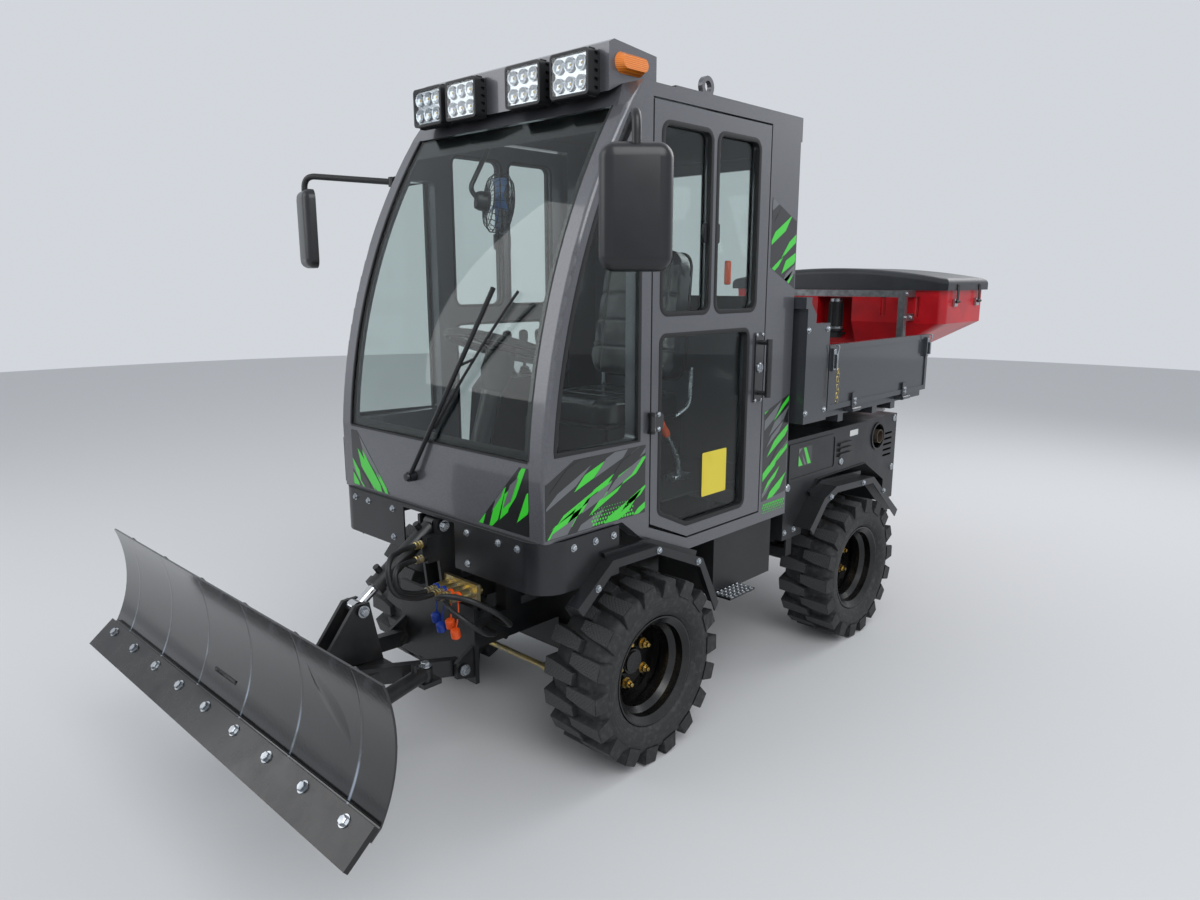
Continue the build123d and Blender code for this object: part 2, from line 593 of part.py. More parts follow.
# Mirrors on bent tube arms
mirror_data = [(1, front_axle_x + 440, 838, 1615, 45), (-1, front_axle_x + 318, 817.978, 1635, 18)]
clamp_x = front_axle_x + 168
mirror_width = 160
mirror_height = 270
mirror_depth = 44
arm_radius = 12
clamp_y = cab_half_width - 30
clamp_z = 1788
with BuildPart() as mirrors:
    for out, head_x, head_y, head_z, yaw in mirror_data:
        rod((clamp_x - 20, out * (cab_half_width + seat_gap), clamp_z), (clamp_x - 20, out * (clamp_y + 60), clamp_z), 16)
        with BuildLine():
            FilletPolyline((clamp_x - 20, out * (clamp_y + 48), clamp_z), (head_x, out * head_y, clamp_z + 30),
                           (head_x, out * head_y, head_z + 60), radius=34)
        with BuildSketch(Plane((clamp_x - 20, out * (clamp_y + 48), clamp_z),
                               z_dir=(head_x - clamp_x + 20, out * (head_y - clamp_y - 48), 30))):
            Circle(arm_radius)
        sweep()
        rod((clamp_x - 20, out * (clamp_y + 48), clamp_z - 17), (clamp_x - 20, out * (clamp_y + 48), clamp_z + 17), 17)
        turned = Plane((head_x, out * head_y, head_z), x_dir=(sin(radians(yaw)), -out * cos(radians(yaw)), 0), z_dir=(0, 0, 1))
        face = Plane((head_x, out * head_y, head_z), x_dir=turned.x_dir, z_dir=turned.y_dir)
        with BuildSketch(face.offset(-mirror_depth / 2)):
            RectangleRounded(mirror_width, mirror_height, 34)
        extrude(amount=mirror_depth * 0.45)
        with BuildSketch(face.offset(-mirror_depth * 0.06)):
            RectangleRounded(mirror_width, mirror_height, 34)
        extrude(amount=mirror_depth * 0.56, taper=28)
        with BuildSketch(face.offset(-mirror_depth / 2)):
            RectangleRounded(mirror_width - 14, mirror_height - 14, 28)
        extrude(amount=5, mode=Mode.SUBTRACT)
        rod((head_x, out * head_y, head_z + 60), (head_x, out * head_y, head_z + 128), 13)
mirrors.part.label = "mirrors"
export_step(mirrors.part, "parts/mirrors.step")

# Front bumper under the panel, with a gap for the hitch
bumper_x = cab_front_x + 16
bumper_foot_z = 628
bumper_y = cab_half_width + 12
bumper_corner = 84
with BuildPart() as front_bumper:
    with BuildSketch(Plane.XY.offset(bumper_foot_z)):
        with BuildLine():
            Polyline((bumper_x, 130), (bumper_x, bumper_y - bumper_corner))
            RadiusArc((bumper_x, bumper_y - bumper_corner), (bumper_x - bumper_corner, bumper_y), -bumper_corner)
            Polyline((bumper_x - bumper_corner, bumper_y), (front_axle_x + 130, bumper_y), (front_axle_x + 130, bumper_y - plate),
                     (bumper_x - bumper_corner, bumper_y - plate))
            RadiusArc((bumper_x - bumper_corner, bumper_y - plate), (bumper_x - plate, bumper_y - bumper_corner), bumper_corner - plate)
            Polyline((bumper_x - plate, bumper_y - bumper_corner), (bumper_x - plate, 130), (bumper_x, 130))
        make_face()
    extrude(amount=panel_foot_z - seat_gap - bumper_foot_z)
    mirror(about=Plane.XZ)
    block(bumper_x - plate, bumper_x, -130, 130, 765, panel_foot_z - seat_gap)
front_bumper.part.label = "front_bumper"
export_step(front_bumper.part, "parts/front_bumper.step")

# Fenders: faceted arches outside the body
def fender(axle_x, points, inner_y, outer_y):
    """Arch plate along points (offset from the axle, height)."""
    outer_line = [(axle_x + dx, z) for dx, z in points]
    inner_line = [(axle_x + dx * 0.985, z - plate) for dx, z in points]
    plate_of(outer_line + inner_line[::-1], inner_y, outer_y)
    lip = [(axle_x + dx * 0.94, z - 26) for dx, z in points]
    plate_of(outer_line + lip[::-1], outer_y - plate, outer_y)
    ridge = [(axle_x + dx * 1.03, z + 16) for dx, z in points[1:-1]]
    inner = [(axle_x + dx, z - 1) for dx, z in points[1:-1]]
    plate_of(ridge + inner[::-1], inner_y, inner_y + 12)


fender_outer_y = bumper_y + 42
with BuildPart() as fenders:
    fender(front_axle_x, [(340, 590), (200, 694), (0, 690), (-220, 598), (-312, 425)], bumper_y + 0.3, fender_outer_y)
    fender(rear_axle_x, [(410, 545), (310, 645), (222, 676), (-96, 660), (-345, 470)], cover_half_width + 0.3, fender_outer_y)
    mirror(about=Plane.XZ)
fenders.part.label = "fenders"
export_step(fenders.part, "parts/fenders.step")

# Side skirts under the doors, each with a serrated step
skirt_outer_y = cab_half_width - 14
with BuildPart() as side_skirts:
    block(front_axle_x - 720, front_axle_x - 372, skirt_outer_y - 238, skirt_outer_y, 410, sill_z - seat_gap)
    block(front_axle_x - 520, front_axle_x - 372, skirt_outer_y, skirt_outer_y + 72, 412, 418)
    mirror(about=Plane.XZ)
side_skirts.part.label = "side_skirts"
export_step(side_skirts.part, "parts/side_skirts.step")

# Seat, steering column and lever console inside the cab
seat_z = panel_foot_z + 6
seat_half_width = cab_half_width - 277
with BuildPart() as seat:
    block(front_axle_x - 560, front_axle_x - 140, 15 - seat_half_width, seat_half_width - 15, seat_z, seat_z + 200)
    block(front_axle_x - 580, front_axle_x - 130, -seat_half_width, seat_half_width, seat_z + 200, seat_z + 290)
    with BuildSketch(side(-seat_half_width)):
        Polygon((front_axle_x - 580, seat_z + 290.3), (front_axle_x - 470, seat_z + 290.3), (front_axle_x - 560, seat_z + 800),
                (front_axle_x - 650, seat_z + 800), align=None)
    extrude(amount=-2 * seat_half_width)
seat.part.label = "seat"
export_step(seat.part, "parts/seat.step")
column_foot = Vector(front_axle_x + 270, 0, seat_z + 10.6)
column_head = Vector(front_axle_x + 120, 0, seat_z + 460)
with BuildPart() as steering_column:
    rod(tuple(column_foot), tuple(column_head), 32)
    with BuildSketch(Plane(column_head, z_dir=column_head - column_foot)):
        Circle(185)
        Circle(163, mode=Mode.SUBTRACT)
        with PolarLocations(86, 3):
            Rectangle(168, 26)
        Circle(48)
    extrude(amount=22)
steering_column.part.label = "steering_column"
export_step(steering_column.part, "parts/steering_column.step")
console_top_z = seat_z + 330
console_y = -seat_half_width - 106
with BuildPart() as lever_console:
    plate_of([(front_axle_x - 430, seat_z), (front_axle_x - 40, seat_z), (front_axle_x - 70, console_top_z - 40),
              (front_axle_x - 110, console_top_z), (front_axle_x - 430, console_top_z)], console_y - 69, console_y + 69)
    for x, lean in ((-130, 26), (-200, 14), (-270, 4), (-340, -6)):
        knob_x = front_axle_x + x + lean
        rod((front_axle_x + x, console_y, console_top_z - 1), (knob_x, console_y, console_top_z + 120), 6)
        rod((knob_x, console_y, console_top_z + 110), (knob_x, console_y, console_top_z + 160), 14)
lever_console.part.label = "lever_console"
export_step(lever_console.part, "parts/lever_console.step")

# Windshield wiper
with BuildPart() as wiper:
    rod((cab_front_x + 0.3, -82, 870), (cab_front_x + 24, -82, 870), 16)
    rod((cab_front_x + 20, -82, 870), (front_axle_x + 396, 300, 1440), 7)
wiper.part.label = "wiper"
export_step(wiper.part, "parts/wiper.step")

# Cargo bed: floor, headboard and the two fixed front side panels
bed_foot_z = bed_floor_z - bed_floor_depth
dropside_hinges = (front_axle_x - 1190, front_axle_x - 1640)
dropside_hinge_y = bed_half_width + 9
dropside_hinge_z = bed_foot_z + 16
with BuildPart() as cargo_bed:
    block(bed_rear_x, bed_front_x, -bed_half_width + bed_wall, bed_half_width - bed_wall, bed_foot_z, bed_floor_z)
    block(bed_front_x - bed_wall, bed_front_x, -bed_half_width, bed_half_width, bed_foot_z, headboard_top_z)
    for out in (1, -1):
        y0, y1 = sorted((out * bed_half_width, out * (bed_half_width - bed_wall)))
        plate_of([(bed_front_x, bed_foot_z), (bed_front_x, headboard_top_z), (bed_front_x - 60, 1340), (bed_front_x - 60, 1306),
                  (dropside_front_x + 2, 1306), (dropside_front_x + 2, bed_foot_z)], y0, y1)
        y0, y1 = sorted((out * 105, out * 125))
        plate_of([(bed_pivot_x - 40, bed_foot_z), (bed_pivot_x + 40, bed_foot_z), (bed_pivot_x + 20, bed_pivot_z - 20),
                  (bed_pivot_x - 20, bed_pivot_z - 20)], y0, y1)
        rod((bed_pivot_x, y0 - 1, bed_pivot_z), (bed_pivot_x, y1 + 1, bed_pivot_z), pin_radius + running_gap, Mode.SUBTRACT)
        for x in dropside_hinges:
            for end in (-1, 1):
                x0, x1 = sorted((x + end * 26, x + end * 34))
                y0, y1 = sorted((out * (bed_half_width - bed_wall - 1), out * dropside_hinge_y))
                block(x0, x1, y0, y1, dropside_hinge_z - 8, dropside_hinge_z + 8)
                rod((x0, out * dropside_hinge_y, dropside_hinge_z), (x1, out * dropside_hinge_y, dropside_hinge_z), 8)
            rod((x - 34, out * dropside_hinge_y, dropside_hinge_z), (x + 34, out * dropside_hinge_y, dropside_hinge_z),
                hinge_pin_radius)
    for x in (bed_front_x - 330, bed_front_x - 620, bed_rear_x + 260):
        block(x - 20, x + 20, -bed_half_width + bed_wall + 4, bed_half_width - bed_wall - 4, bed_foot_z - 30, bed_foot_z + 1)
    for y in (-330, -110, 110, 330):
        block(bed_front_x - 1, bed_front_x + 14, y - 20, y + 20, bed_foot_z + 10, headboard_top_z - 30)
    block(bed_front_x - 1, bed_front_x + 14, -bed_half_width, bed_half_width, headboard_top_z - 40, headboard_top_z)
cargo_bed.part.label = "cargo_bed"
export_step(cargo_bed.part, "parts/cargo_bed.step")

# Rubber buffers under the bed
with BuildPart() as bed_buffers:
    for x in (front_axle_x - 965,):
        rod((x, rail_y, bed_foot_z - 23.7), (x, rail_y, bed_foot_z), 22)
    mirror(about=Plane.XZ)
bed_buffers.part.label = "bed_buffers"
export_step(bed_buffers.part, "parts/bed_buffers.step")

# Drop sides, hinged along their foot
dropside_gap = 6
dropside_border = 20
dropside_fold = 5
dropside_foot_z = bed_floor_z - 10
for place, out in (("left", 1), ("right", -1)):
    y0, y1 = sorted((out * bed_half_width, out * (bed_half_width - bed_wall + 6)))
    with BuildPart() as dropside:
        block(bed_rear_x, dropside_front_x - dropside_gap, y0, y1, dropside_foot_z + dropside_gap, dropside_top_z)
        y0, y1 = sorted((out * (bed_half_width - dropside_fold), out * (bed_half_width + 1)))
        block(bed_rear_x + dropside_border, dropside_front_x - dropside_gap - dropside_border, y0, y1,
              dropside_foot_z + dropside_gap + dropside_border, dropside_top_z - dropside_border, Mode.SUBTRACT)
        for x in (dropside_front_x - 26, bed_rear_x + 26):
            y0, y1 = sorted((out * (bed_half_width - dropside_fold), out * (bed_half_width + 9)))
            block(x - 11, x + 11, y0, y1, dropside_top_z - 96, dropside_top_z - 12)
            y0, y1 = sorted((out * (bed_half_width + 8), out * (bed_half_width + 20)))
            block(x - 5, x + 5, y0, y1, dropside_top_z - 84, dropside_top_z - 34)
        for x in dropside_hinges:
            y0, y1 = sorted((out * bed_half_width, out * (bed_half_width + 5)))
            block(x - 20, x + 20, y0, y1, dropside_hinge_z, dropside_hinge_z + 64)
            rod((x - 25, out * dropside_hinge_y, dropside_hinge_z), (x + 25, out * dropside_hinge_y, dropside_hinge_z), 8)
            rod((x - 26, out * dropside_hinge_y, dropside_hinge_z), (x + 26, out * dropside_hinge_y, dropside_hinge_z),
                hinge_pin_radius + running_gap, Mode.SUBTRACT)
    dropside.part.label = f"dropside_{place}"
    export_step(dropside.part, f"parts/dropside_{place}.step")

# Spreader frame: two legs and a bar on the bed's rear edge, carrying the hopper
with BuildPart() as spreader_frame:
    for out in (1, -1):
        y0, y1 = sorted((out * (frame_leg_y - frame_tube / 2), out * (frame_leg_y + frame_tube / 2)))
        block(frame_x - frame_tube / 2, frame_x + frame_tube / 2, y0, y1, bed_floor_z - 20, hopper_top_z)
        block(hopper_front_x, frame_x - frame_tube / 2, y0, y1, hopper_top_z - frame_tube, hopper_top_z)
        block(frame_x + frame_tube / 2, frame_x + 120, y0, y1, bed_floor_z, bed_floor_z + frame_tube)
        block(hopper_front_x, frame_x - frame_tube / 2, y0, y1, bed_floor_z + 290, bed_floor_z + 290 + frame_tube)
        gusset0, gusset1 = sorted((out * (frame_leg_y - 4), out * (frame_leg_y + 4)))
        plate_of([(frame_x + frame_tube / 2 - 1, bed_floor_z + frame_tube - 1), (frame_x + 110, bed_floor_z + frame_tube - 1),
                  (frame_x + frame_tube / 2 - 1, bed_floor_z + 130)], gusset0, gusset1)
    block(frame_x - frame_tube / 2, frame_x + frame_tube / 2, -frame_leg_y, frame_leg_y, hopper_top_z - frame_tube, hopper_top_z)
spreader_frame.part.label = "spreader_frame"
export_step(spreader_frame.part, "parts/spreader_frame.step")

# Hopper: upright walls above a four-sided funnel, open at the top
hopper_mid_x = (hopper_front_x + hopper_rear_x) / 2
hopper_length = hopper_front_x - hopper_rear_x
lid_hinges = (hopper_mid_x - 130, hopper_mid_x + 130)
lid_overhang = 14
lid_hinge_y = -hopper_half_width - lid_overhang - 8
lid_hinge_z = hopper_top_z + 12
recess_depth = 74
recess_y = (-72, 112)


def hopper_form(shrink):
    """Outer form of the hopper moved inwards by shrink: upright walls, funnel, and the motor's recess in front."""
    reach = 1 if shrink else 0
    with BuildPart() as form:
        with BuildSketch(Plane.XY.offset(hopper_crease_z)):
            with Locations((hopper_mid_x, 0)):
                RectangleRounded(hopper_length - 2 * shrink, 2 * (hopper_half_width - shrink), 34 - shrink)
        extrude(amount=hopper_top_z - hopper_crease_z + reach)
        with BuildSketch(Plane.XY.offset(hopper_outlet_z - reach)):
            with Locations((hopper_mid_x, 0)):
                RectangleRounded(hopper_outlet - 2 * shrink, hopper_outlet - 2 * shrink, 34 - shrink)
        with BuildSketch(Plane.XY.offset(hopper_crease_z)):
            with Locations((hopper_mid_x, 0)):
                RectangleRounded(hopper_length - 2 * shrink, 2 * (hopper_half_width - shrink), 34 - shrink)
        loft()
        with Locations(((hopper_front_x - recess_depth - shrink + hopper_front_x + 9) / 2, sum(recess_y) / 2, hopper_crease_z)):
            Box(recess_depth + shrink + 9, recess_y[1] - recess_y[0] + 2 * shrink, 2 * (hopper_top_z - 34 + shrink - hopper_crease_z),
                mode=Mode.SUBTRACT)
        for y in (-420, -250, 270, 430):
            with Locations((hopper_front_x, y, (hopper_crease_z + hopper_top_z) / 2)):
                Cylinder(12 + shrink, hopper_top_z - hopper_crease_z - 60 + 2 * shrink, mode=Mode.SUBTRACT)
    return form.part


hopper_outer = hopper_form(0)
hopper_inner = hopper_form(hopper_wall)
with BuildPart() as hopper:
    add(hopper_outer)
    add(hopper_inner, mode=Mode.SUBTRACT)
    for x in lid_hinges:
        for end in (-1, 1):
            x0, x1 = sorted((x + end * 26, x + end * 34))
            block(x0, x1, lid_hinge_y - 8, -hopper_half_width, lid_hinge_z - 26, lid_hinge_z - 14)
            block(x0, x1, lid_hinge_y - 8, lid_hinge_y + 7, lid_hinge_z - 26, lid_hinge_z)
            rod((x0, lid_hinge_y, lid_hinge_z), (x1, lid_hinge_y, lid_hinge_z), 8)
        rod((x - 34, lid_hinge_y, lid_hinge_z), (x + 34, lid_hinge_y, lid_hinge_z), hinge_pin_radius)
hopper.part.label = "hopper"
export_step(hopper.part, "parts/hopper.step")

# Domed lid, hinged on the right-hand side
lid_gap = 0.3
lid_wall = 6
with BuildPart() as hopper_lid:
    with BuildSketch(front(hopper_front_x + 12)):
        with BuildLine():
            Polyline((hopper_half_width + 14, hopper_top_z + lid_gap), (hopper_half_width + 14, hopper_top_z + 50))
            ThreePointArc((hopper_half_width + 14, hopper_top_z + 50), (0, lid_crown_z), (-hopper_half_width - 14, hopper_top_z + 50))
            Polyline((-hopper_half_width - 14, hopper_top_z + 50), (-hopper_half_width - 14, hopper_top_z + lid_gap),
                     (hopper_half_width + 14, hopper_top_z + lid_gap))
        make_face()
    extrude(amount=-hopper_length - 24)
    fillet(hopper_lid.faces().sort_by(Axis.Z)[-1].edges(), 26)
    block(hopper_rear_x + 20, hopper_front_x - 20, 20 - hopper_half_width, hopper_half_width - 20, hopper_top_z, hopper_top_z + 46,
          Mode.SUBTRACT)
    for x in lid_hinges:
        block(x - 20, x + 20, lid_hinge_y + 3, lid_hinge_y + 8, lid_hinge_z, lid_hinge_z + 28)
        rod((x - 25, lid_hinge_y, lid_hinge_z), (x + 25, lid_hinge_y, lid_hinge_z), 8)
        rod((x - 26, lid_hinge_y, lid_hinge_z), (x + 26, lid_hinge_y, lid_hinge_z), hinge_pin_radius + running_gap, Mode.SUBTRACT)
hopper_lid.part.label = "hopper_lid"
export_step(hopper_lid.part, "parts/hopper_lid.step")

# Spreader gear motor in front of the hopper
motor_x = hopper_front_x - 18
motor_y = 20
with BuildPart() as spreader_motor:
    rod((motor_x, motor_y, 1222), (motor_x, motor_y, 1352), 33)
    rod((motor_x, motor_y, 1352), (motor_x, motor_y, hopper_top_z - 42), 26)
    rod((motor_x, motor_y, 1212), (motor_x, motor_y, 1222), 40)
    block(motor_x - 24, motor_x + 24, motor_y - 24, motor_y + 24, 1178, 1213)
    block(hopper_front_x - recess_depth + seat_gap, motor_x, motor_y - 30, motor_y + 30, 1192, 1204)
    with Locations((motor_x, motor_y, 1285)):
        with PolarLocations(33, 12):
            Box(6, 3, 110)
spreader_motor.part.label = "spreader_motor"
export_step(spreader_motor.part, "parts/spreader_motor.step")

# Spinner disc under the outlet, on its own bearing post
spinner_z = 800
with BuildPart() as spinner:
    rod((hopper_mid_x, 0, spinner_z), (hopper_mid_x, 0, spinner_z + 6), 190)
    rod((hopper_mid_x, 0, spinner_z - 40), (hopper_mid_x, 0, spinner_z + 60), 26)
    rod((hopper_mid_x, 0, spinner_z + 20), (hopper_mid_x, 0, spinner_z + 61), 12.5, Mode.SUBTRACT)
spinner.part.label = "spinner"
export_step(spinner.part, "parts/spinner.step")
with BuildPart() as spinner_drive:
    rod((hopper_mid_x, 0, spinner_z + 24), (hopper_mid_x, 0, hopper_outlet_z - 70), 12)
    block(hopper_mid_x - 85, hopper_mid_x + 85, -12, 12, hopper_outlet_z - 76, hopper_outlet_z - 60)
    for level in (-1, 1):
        x0, x1 = sorted((hopper_mid_x + level * 85, hopper_mid_x + level * 90))
        block(x0, x1, -40, 40, hopper_outlet_z - 76, hopper_outlet_z)
spinner_drive.part.label = "spinner_drive"
export_step(spinner_drive.part, "parts/spinner_drive.step")

# Front hitch: tower on the frame's nose with the pins of the lift frame and the cylinder
valve_x = lift_pin_x + 70
valve_z = lift_pin_z - 60
valve_ports = ((49, valve_z - 24), (49, valve_z + 20))
with BuildPart() as hitch_tower:
    block(rail_front_x, rail_front_x + 14, -190, 190, lift_pivot_z - 60, rail_top + 40)
    for out in (1, -1):
        y0, y1 = sorted((out * 34, out * 46))
        plate_of([(rail_front_x, rail_top + 40), (rail_front_x + 14, rail_top + 40), (lift_pin_x + 26, lift_pin_z - 30),
                  (lift_pin_x + 26, lift_pin_z + 24), (lift_pin_x - 40, lift_pin_z + 24), (lift_pin_x - 70, rail_top + 40)], y0, y1)
        y0, y1 = sorted((out * 168, out * 182))
        plate_of([(rail_front_x + 14, lift_pivot_z - 40), (lift_pivot_x + 24, lift_pivot_z - 24), (lift_pivot_x + 24, lift_pivot_z + 24),
                  (rail_front_x + 14, lift_pivot_z + 60)], y0, y1)
    across(lift_pin_x, lift_pin_z, pin_radius, 52)
    block(valve_x - 46, valve_x, 36, 62, valve_z - 40, valve_z + 40)
    for y, z in valve_ports:
        rod((valve_x - 2, y, z), (valve_x + 10, y, z), 11)
    for out in (1, -1):
        rod((lift_pivot_x, out * 140, lift_pivot_z), (lift_pivot_x, out * 190, lift_pivot_z), pin_radius)
hitch_tower.part.label = "hitch_tower"
export_step(hitch_tower.part, "parts/hitch_tower.step")

# Quick couplers on a bar of the tower's left side: body, sliding collar and cap
coupler_z = rail_top + 90
coupler_x = rail_front_x + 12
coupler_ys = (78, 113, 148, 183)
coupler_length = 64
hose_radius = 8
with BuildPart() as quick_couplers:
    block(rail_front_x, coupler_x, 46 + seat_gap, 206, coupler_z - 26, coupler_z + 26)
    for y in coupler_ys:
        rod((coupler_x - 30, y, coupler_z), (coupler_x + coupler_length, y, coupler_z), 12)
        rod((coupler_x + 18, y, coupler_z), (coupler_x + 46, y, coupler_z), 16)
        with BuildSketch(front(coupler_x)):
            with Locations((y, coupler_z)):
                RegularPolygon(17, 6)
        extrude(amount=12)
quick_couplers.part.label = "quick_couplers"
export_step(quick_couplers.part, "parts/quick_couplers.step")


def hose(points, radius):
    """Hose along a route of straight runs and arcs, each arc as large as its two runs allow."""
    runs = [(Vector(*b) - Vector(*a)) for a, b in zip(points, points[1:])]
    radii = [0.45 * min(a.length, b.length) / tan(radians(a.get_angle(b)) / 2) for a, b in zip(runs, runs[1:])]
    with BuildPart() as tube:
        with BuildLine():
            FilletPolyline(*points, radius=radii)
        with BuildSketch(Plane(points[0], z_dir=runs[0])):
            Circle(radius)
        sweep()
    print("hose radii", [round(r) for r in radii])
    return tube.part


# Hoses from the couplers to the ports on the tower, looped forwards over the lift frame
hose_start_x = coupler_x + coupler_length + seat_gap
hose_routes = [
    [(hose_start_x, coupler_ys[0], coupler_z), (hose_start_x + 60, coupler_ys[0], coupler_z),
     (hose_start_x + 128, coupler_ys[0] + 4, coupler_z + 30), (hose_start_x + 122, coupler_ys[0] - 8, coupler_z + 92),
     (hose_start_x + 66, valve_ports[0][0], valve_ports[0][1]), (valve_x + 10.3, valve_ports[0][0], valve_ports[0][1])],
    [(hose_start_x, coupler_ys[1], coupler_z), (hose_start_x + 84, coupler_ys[1], coupler_z),
     (hose_start_x + 176, coupler_ys[1] + 16, coupler_z + 46), (hose_start_x + 170, coupler_ys[1] - 6, coupler_z + 142),
     (hose_start_x + 72, valve_ports[1][0], valve_ports[1][1]), (valve_x + 10.3, valve_ports[1][0], valve_ports[1][1])],
    [(hose_start_x, coupler_ys[2], coupler_z), (hose_start_x + 46, coupler_ys[2], coupler_z),
     (hose_start_x + 64, coupler_ys[2] + 66, coupler_z + 34), (hose_start_x + 34, coupler_ys[2] + 146, coupler_z + 36),
     (hose_start_x - 50, coupler_ys[2] + 172, coupler_z - 24), (rail_front_x - 62, coupler_ys[2] + 130, rail_top - 14),
     (rail_front_x - 62, rail_y + rail_width / 2 + seat_gap, rail_top - 14)],
    [(hose_start_x, coupler_ys[3], coupler_z), (hose_start_x + 34, coupler_ys[3], coupler_z),
     (hose_start_x + 48, coupler_ys[3] + 48, coupler_z - 12), (hose_start_x + 26, coupler_ys[3] + 90, coupler_z - 40),
     (hose_start_x - 36, coupler_ys[3] + 92, coupler_z - 96), (rail_front_x - 30, coupler_ys[3] + 56, rail_top - 38),
     (rail_front_x - 30, rail_y + rail_width / 2 + seat_gap, rail_top - 38)],
]
tower_hose_parts = [hose(route, hose_radius) for route in hose_routes]
with BuildPart() as tower_hoses:
    for tube in tower_hose_parts:
        add(tube)
tower_hoses.part.label = "tower_hoses"
export_step(tower_hoses.part, "parts/tower_hoses.step")

# Lift frame between the tower and the blade
swing_pin = Vector(front_axle_x + 600, 210, 384)
swing_eye = Vector(front_axle_x + 1010, 330, 384)
with BuildPart() as lift_frame:
    for out in (1, -1):
        rod((lift_pivot_x, out * 137, lift_pivot_z), (lift_pivot_x, out * 163, lift_pivot_z), 24)
        path = [Vector(lift_pivot_x, out * 150, lift_pivot_z), Vector(blade_pivot_x - 60, out * 46, blade_pivot_z - 20)]
        way = path[1] - path[0]
        with BuildSketch(Plane(path[0], x_dir=(0, 1, 0), z_dir=way)):
            Rectangle(30, 50)
        extrude(amount=way.length)
        rod((lift_pivot_x, out * 130, lift_pivot_z), (lift_pivot_x, out * 170, lift_pivot_z), pin_radius + running_gap, Mode.SUBTRACT)
        y0, y1 = sorted((out * 24, out * 36))
        plate_of([(lift_eye_x - 60, 378), (lift_eye_x + 150, 402), (lift_eye_x + 24, lift_eye_z + 20), (lift_eye_x - 24, lift_eye_z + 20)], y0, y1)
    block(lift_eye_x - 60, lift_eye_x + 60, -110, 110, 352, 380)
    block(blade_pivot_x - 90, blade_pivot_x - 40, -70, 70, blade_pivot_z - 60, blade_pivot_z + 40)
    rod((blade_pivot_x, 0, blade_pivot_z - 60), (blade_pivot_x, 0, blade_pivot_z + 40), 36)
    block(blade_pivot_x - 50, blade_pivot_x, -30, 30, blade_pivot_z - 60, blade_pivot_z + 40)
    rod((blade_pivot_x, 0, blade_pivot_z - 80), (blade_pivot_x, 0, blade_pivot_z + 60), 14.5, Mode.SUBTRACT)
    for out in (1, -1):
        rod((lift_eye_x, out * 30, lift_eye_z), (lift_eye_x, out * 44, lift_eye_z), pin_radius + 4)
    block(swing_pin.X - 40, swing_pin.X + 20, 90, swing_pin.Y + 20, swing_pin.Z - 40, swing_pin.Z - 26)
    rod((swing_pin.X, swing_pin.Y, swing_pin.Z - 27), (swing_pin.X, swing_pin.Y, swing_pin.Z - 16.3), 16)
    rod((swing_pin.X, swing_pin.Y, swing_pin.Z - 17), (swing_pin.X, swing_pin.Y, swing_pin.Z + 20), pin_radius)
lift_frame.part.label = "lift_frame"
export_step(lift_frame.part, "parts/lift_frame.step")

# Blade: curved moldboard with back ribs and the yoke of its swing pin
blade_foot = (front_axle_x + 1110, 392)
blade_mid = (front_axle_x + 1043, 560)
blade_top = (front_axle_x + 1064, 704)
flange_length = 32
rib_places = (-630, -378, -126, 126, 378, 630)
rib_thickness = 8
rib_depth = 42
beam_z = 540
edge_slope = 40.4
flange_way = Vector(cos(radians(edge_slope)), -sin(radians(edge_slope)))
flange_top = Vector(*blade_foot) - flange_way * flange_length
flange_back = Vector(-flange_way.Y, flange_way.X) * blade_thickness
with BuildPart() as blade:
    with BuildSketch(side(-blade_half_width)):
        with BuildLine():
            Line(blade_foot, flange_top)
            ThreePointArc(flange_top, blade_mid, blade_top)
            Line(blade_top, (blade_top[0] - blade_thickness, blade_top[1] + 1))
            ThreePointArc((blade_top[0] - blade_thickness, blade_top[1] + 1), (blade_mid[0] - blade_thickness, blade_mid[1]),
                          flange_top - flange_back)
            Line(flange_top - flange_back, Vector(*blade_foot) - flange_back)
            Line(Vector(*blade_foot) - flange_back, blade_foot)
        make_face()
    extrude(amount=-2 * blade_half_width)
    for y in rib_places:
        with BuildSketch(side(y - rib_thickness / 2)):
            with BuildLine():
                Line((blade_foot[0] - 26, blade_foot[1] + 14), (blade_foot[0] - 62, blade_foot[1] + 20))
                ThreePointArc((blade_foot[0] - 62, blade_foot[1] + 20), (blade_mid[0] - rib_depth, blade_mid[1]),
                              (blade_top[0] - 16, blade_top[1] - 6))
                Line((blade_top[0] - 16, blade_top[1] - 6), (blade_top[0] - 3, blade_top[1] - 6))
                ThreePointArc((blade_top[0] - 3, blade_top[1] - 6), (blade_mid[0] - 3, blade_mid[1]), (blade_foot[0] - 26, blade_foot[1] + 14))
            make_face()
        extrude(amount=-rib_thickness)
    block(blade_mid[0] - rib_depth - 6, blade_mid[0] - rib_depth + 26, -rib_places[-1], rib_places[-1], beam_z - 25, beam_z + 25)
    for level in (-1, 1):
        z0 = blade_pivot_z - 10 + level * 57 - 7
        block(blade_pivot_x - 30, blade_mid[0] + 10, -60, 60, z0, z0 + 14)
    block(blade_mid[0] - 6, blade_mid[0] + 20, -60, 60, blade_pivot_z - 74, blade_pivot_z + 54)
    block(swing_eye.X - 22, swing_eye.X + 50, swing_eye.Y - 24, swing_eye.Y + 24, swing_eye.Z - 29, swing_eye.Z - 15.5)
    plate_of([(swing_eye.X + 36, swing_eye.Z - 29), (blade_foot[0] - 16, blade_foot[1] + 7), (blade_foot[0] - 52, blade_foot[1] + 60),
              (swing_eye.X + 36, swing_eye.Z - 15.5)], swing_eye.Y - 6, swing_eye.Y + 6)
    rod((blade_pivot_x, 0, blade_pivot_z - 80), (blade_pivot_x, 0, blade_pivot_z + 60), 14)
blade.part.label = "blade"
export_step(blade.part, "parts/blade.step")

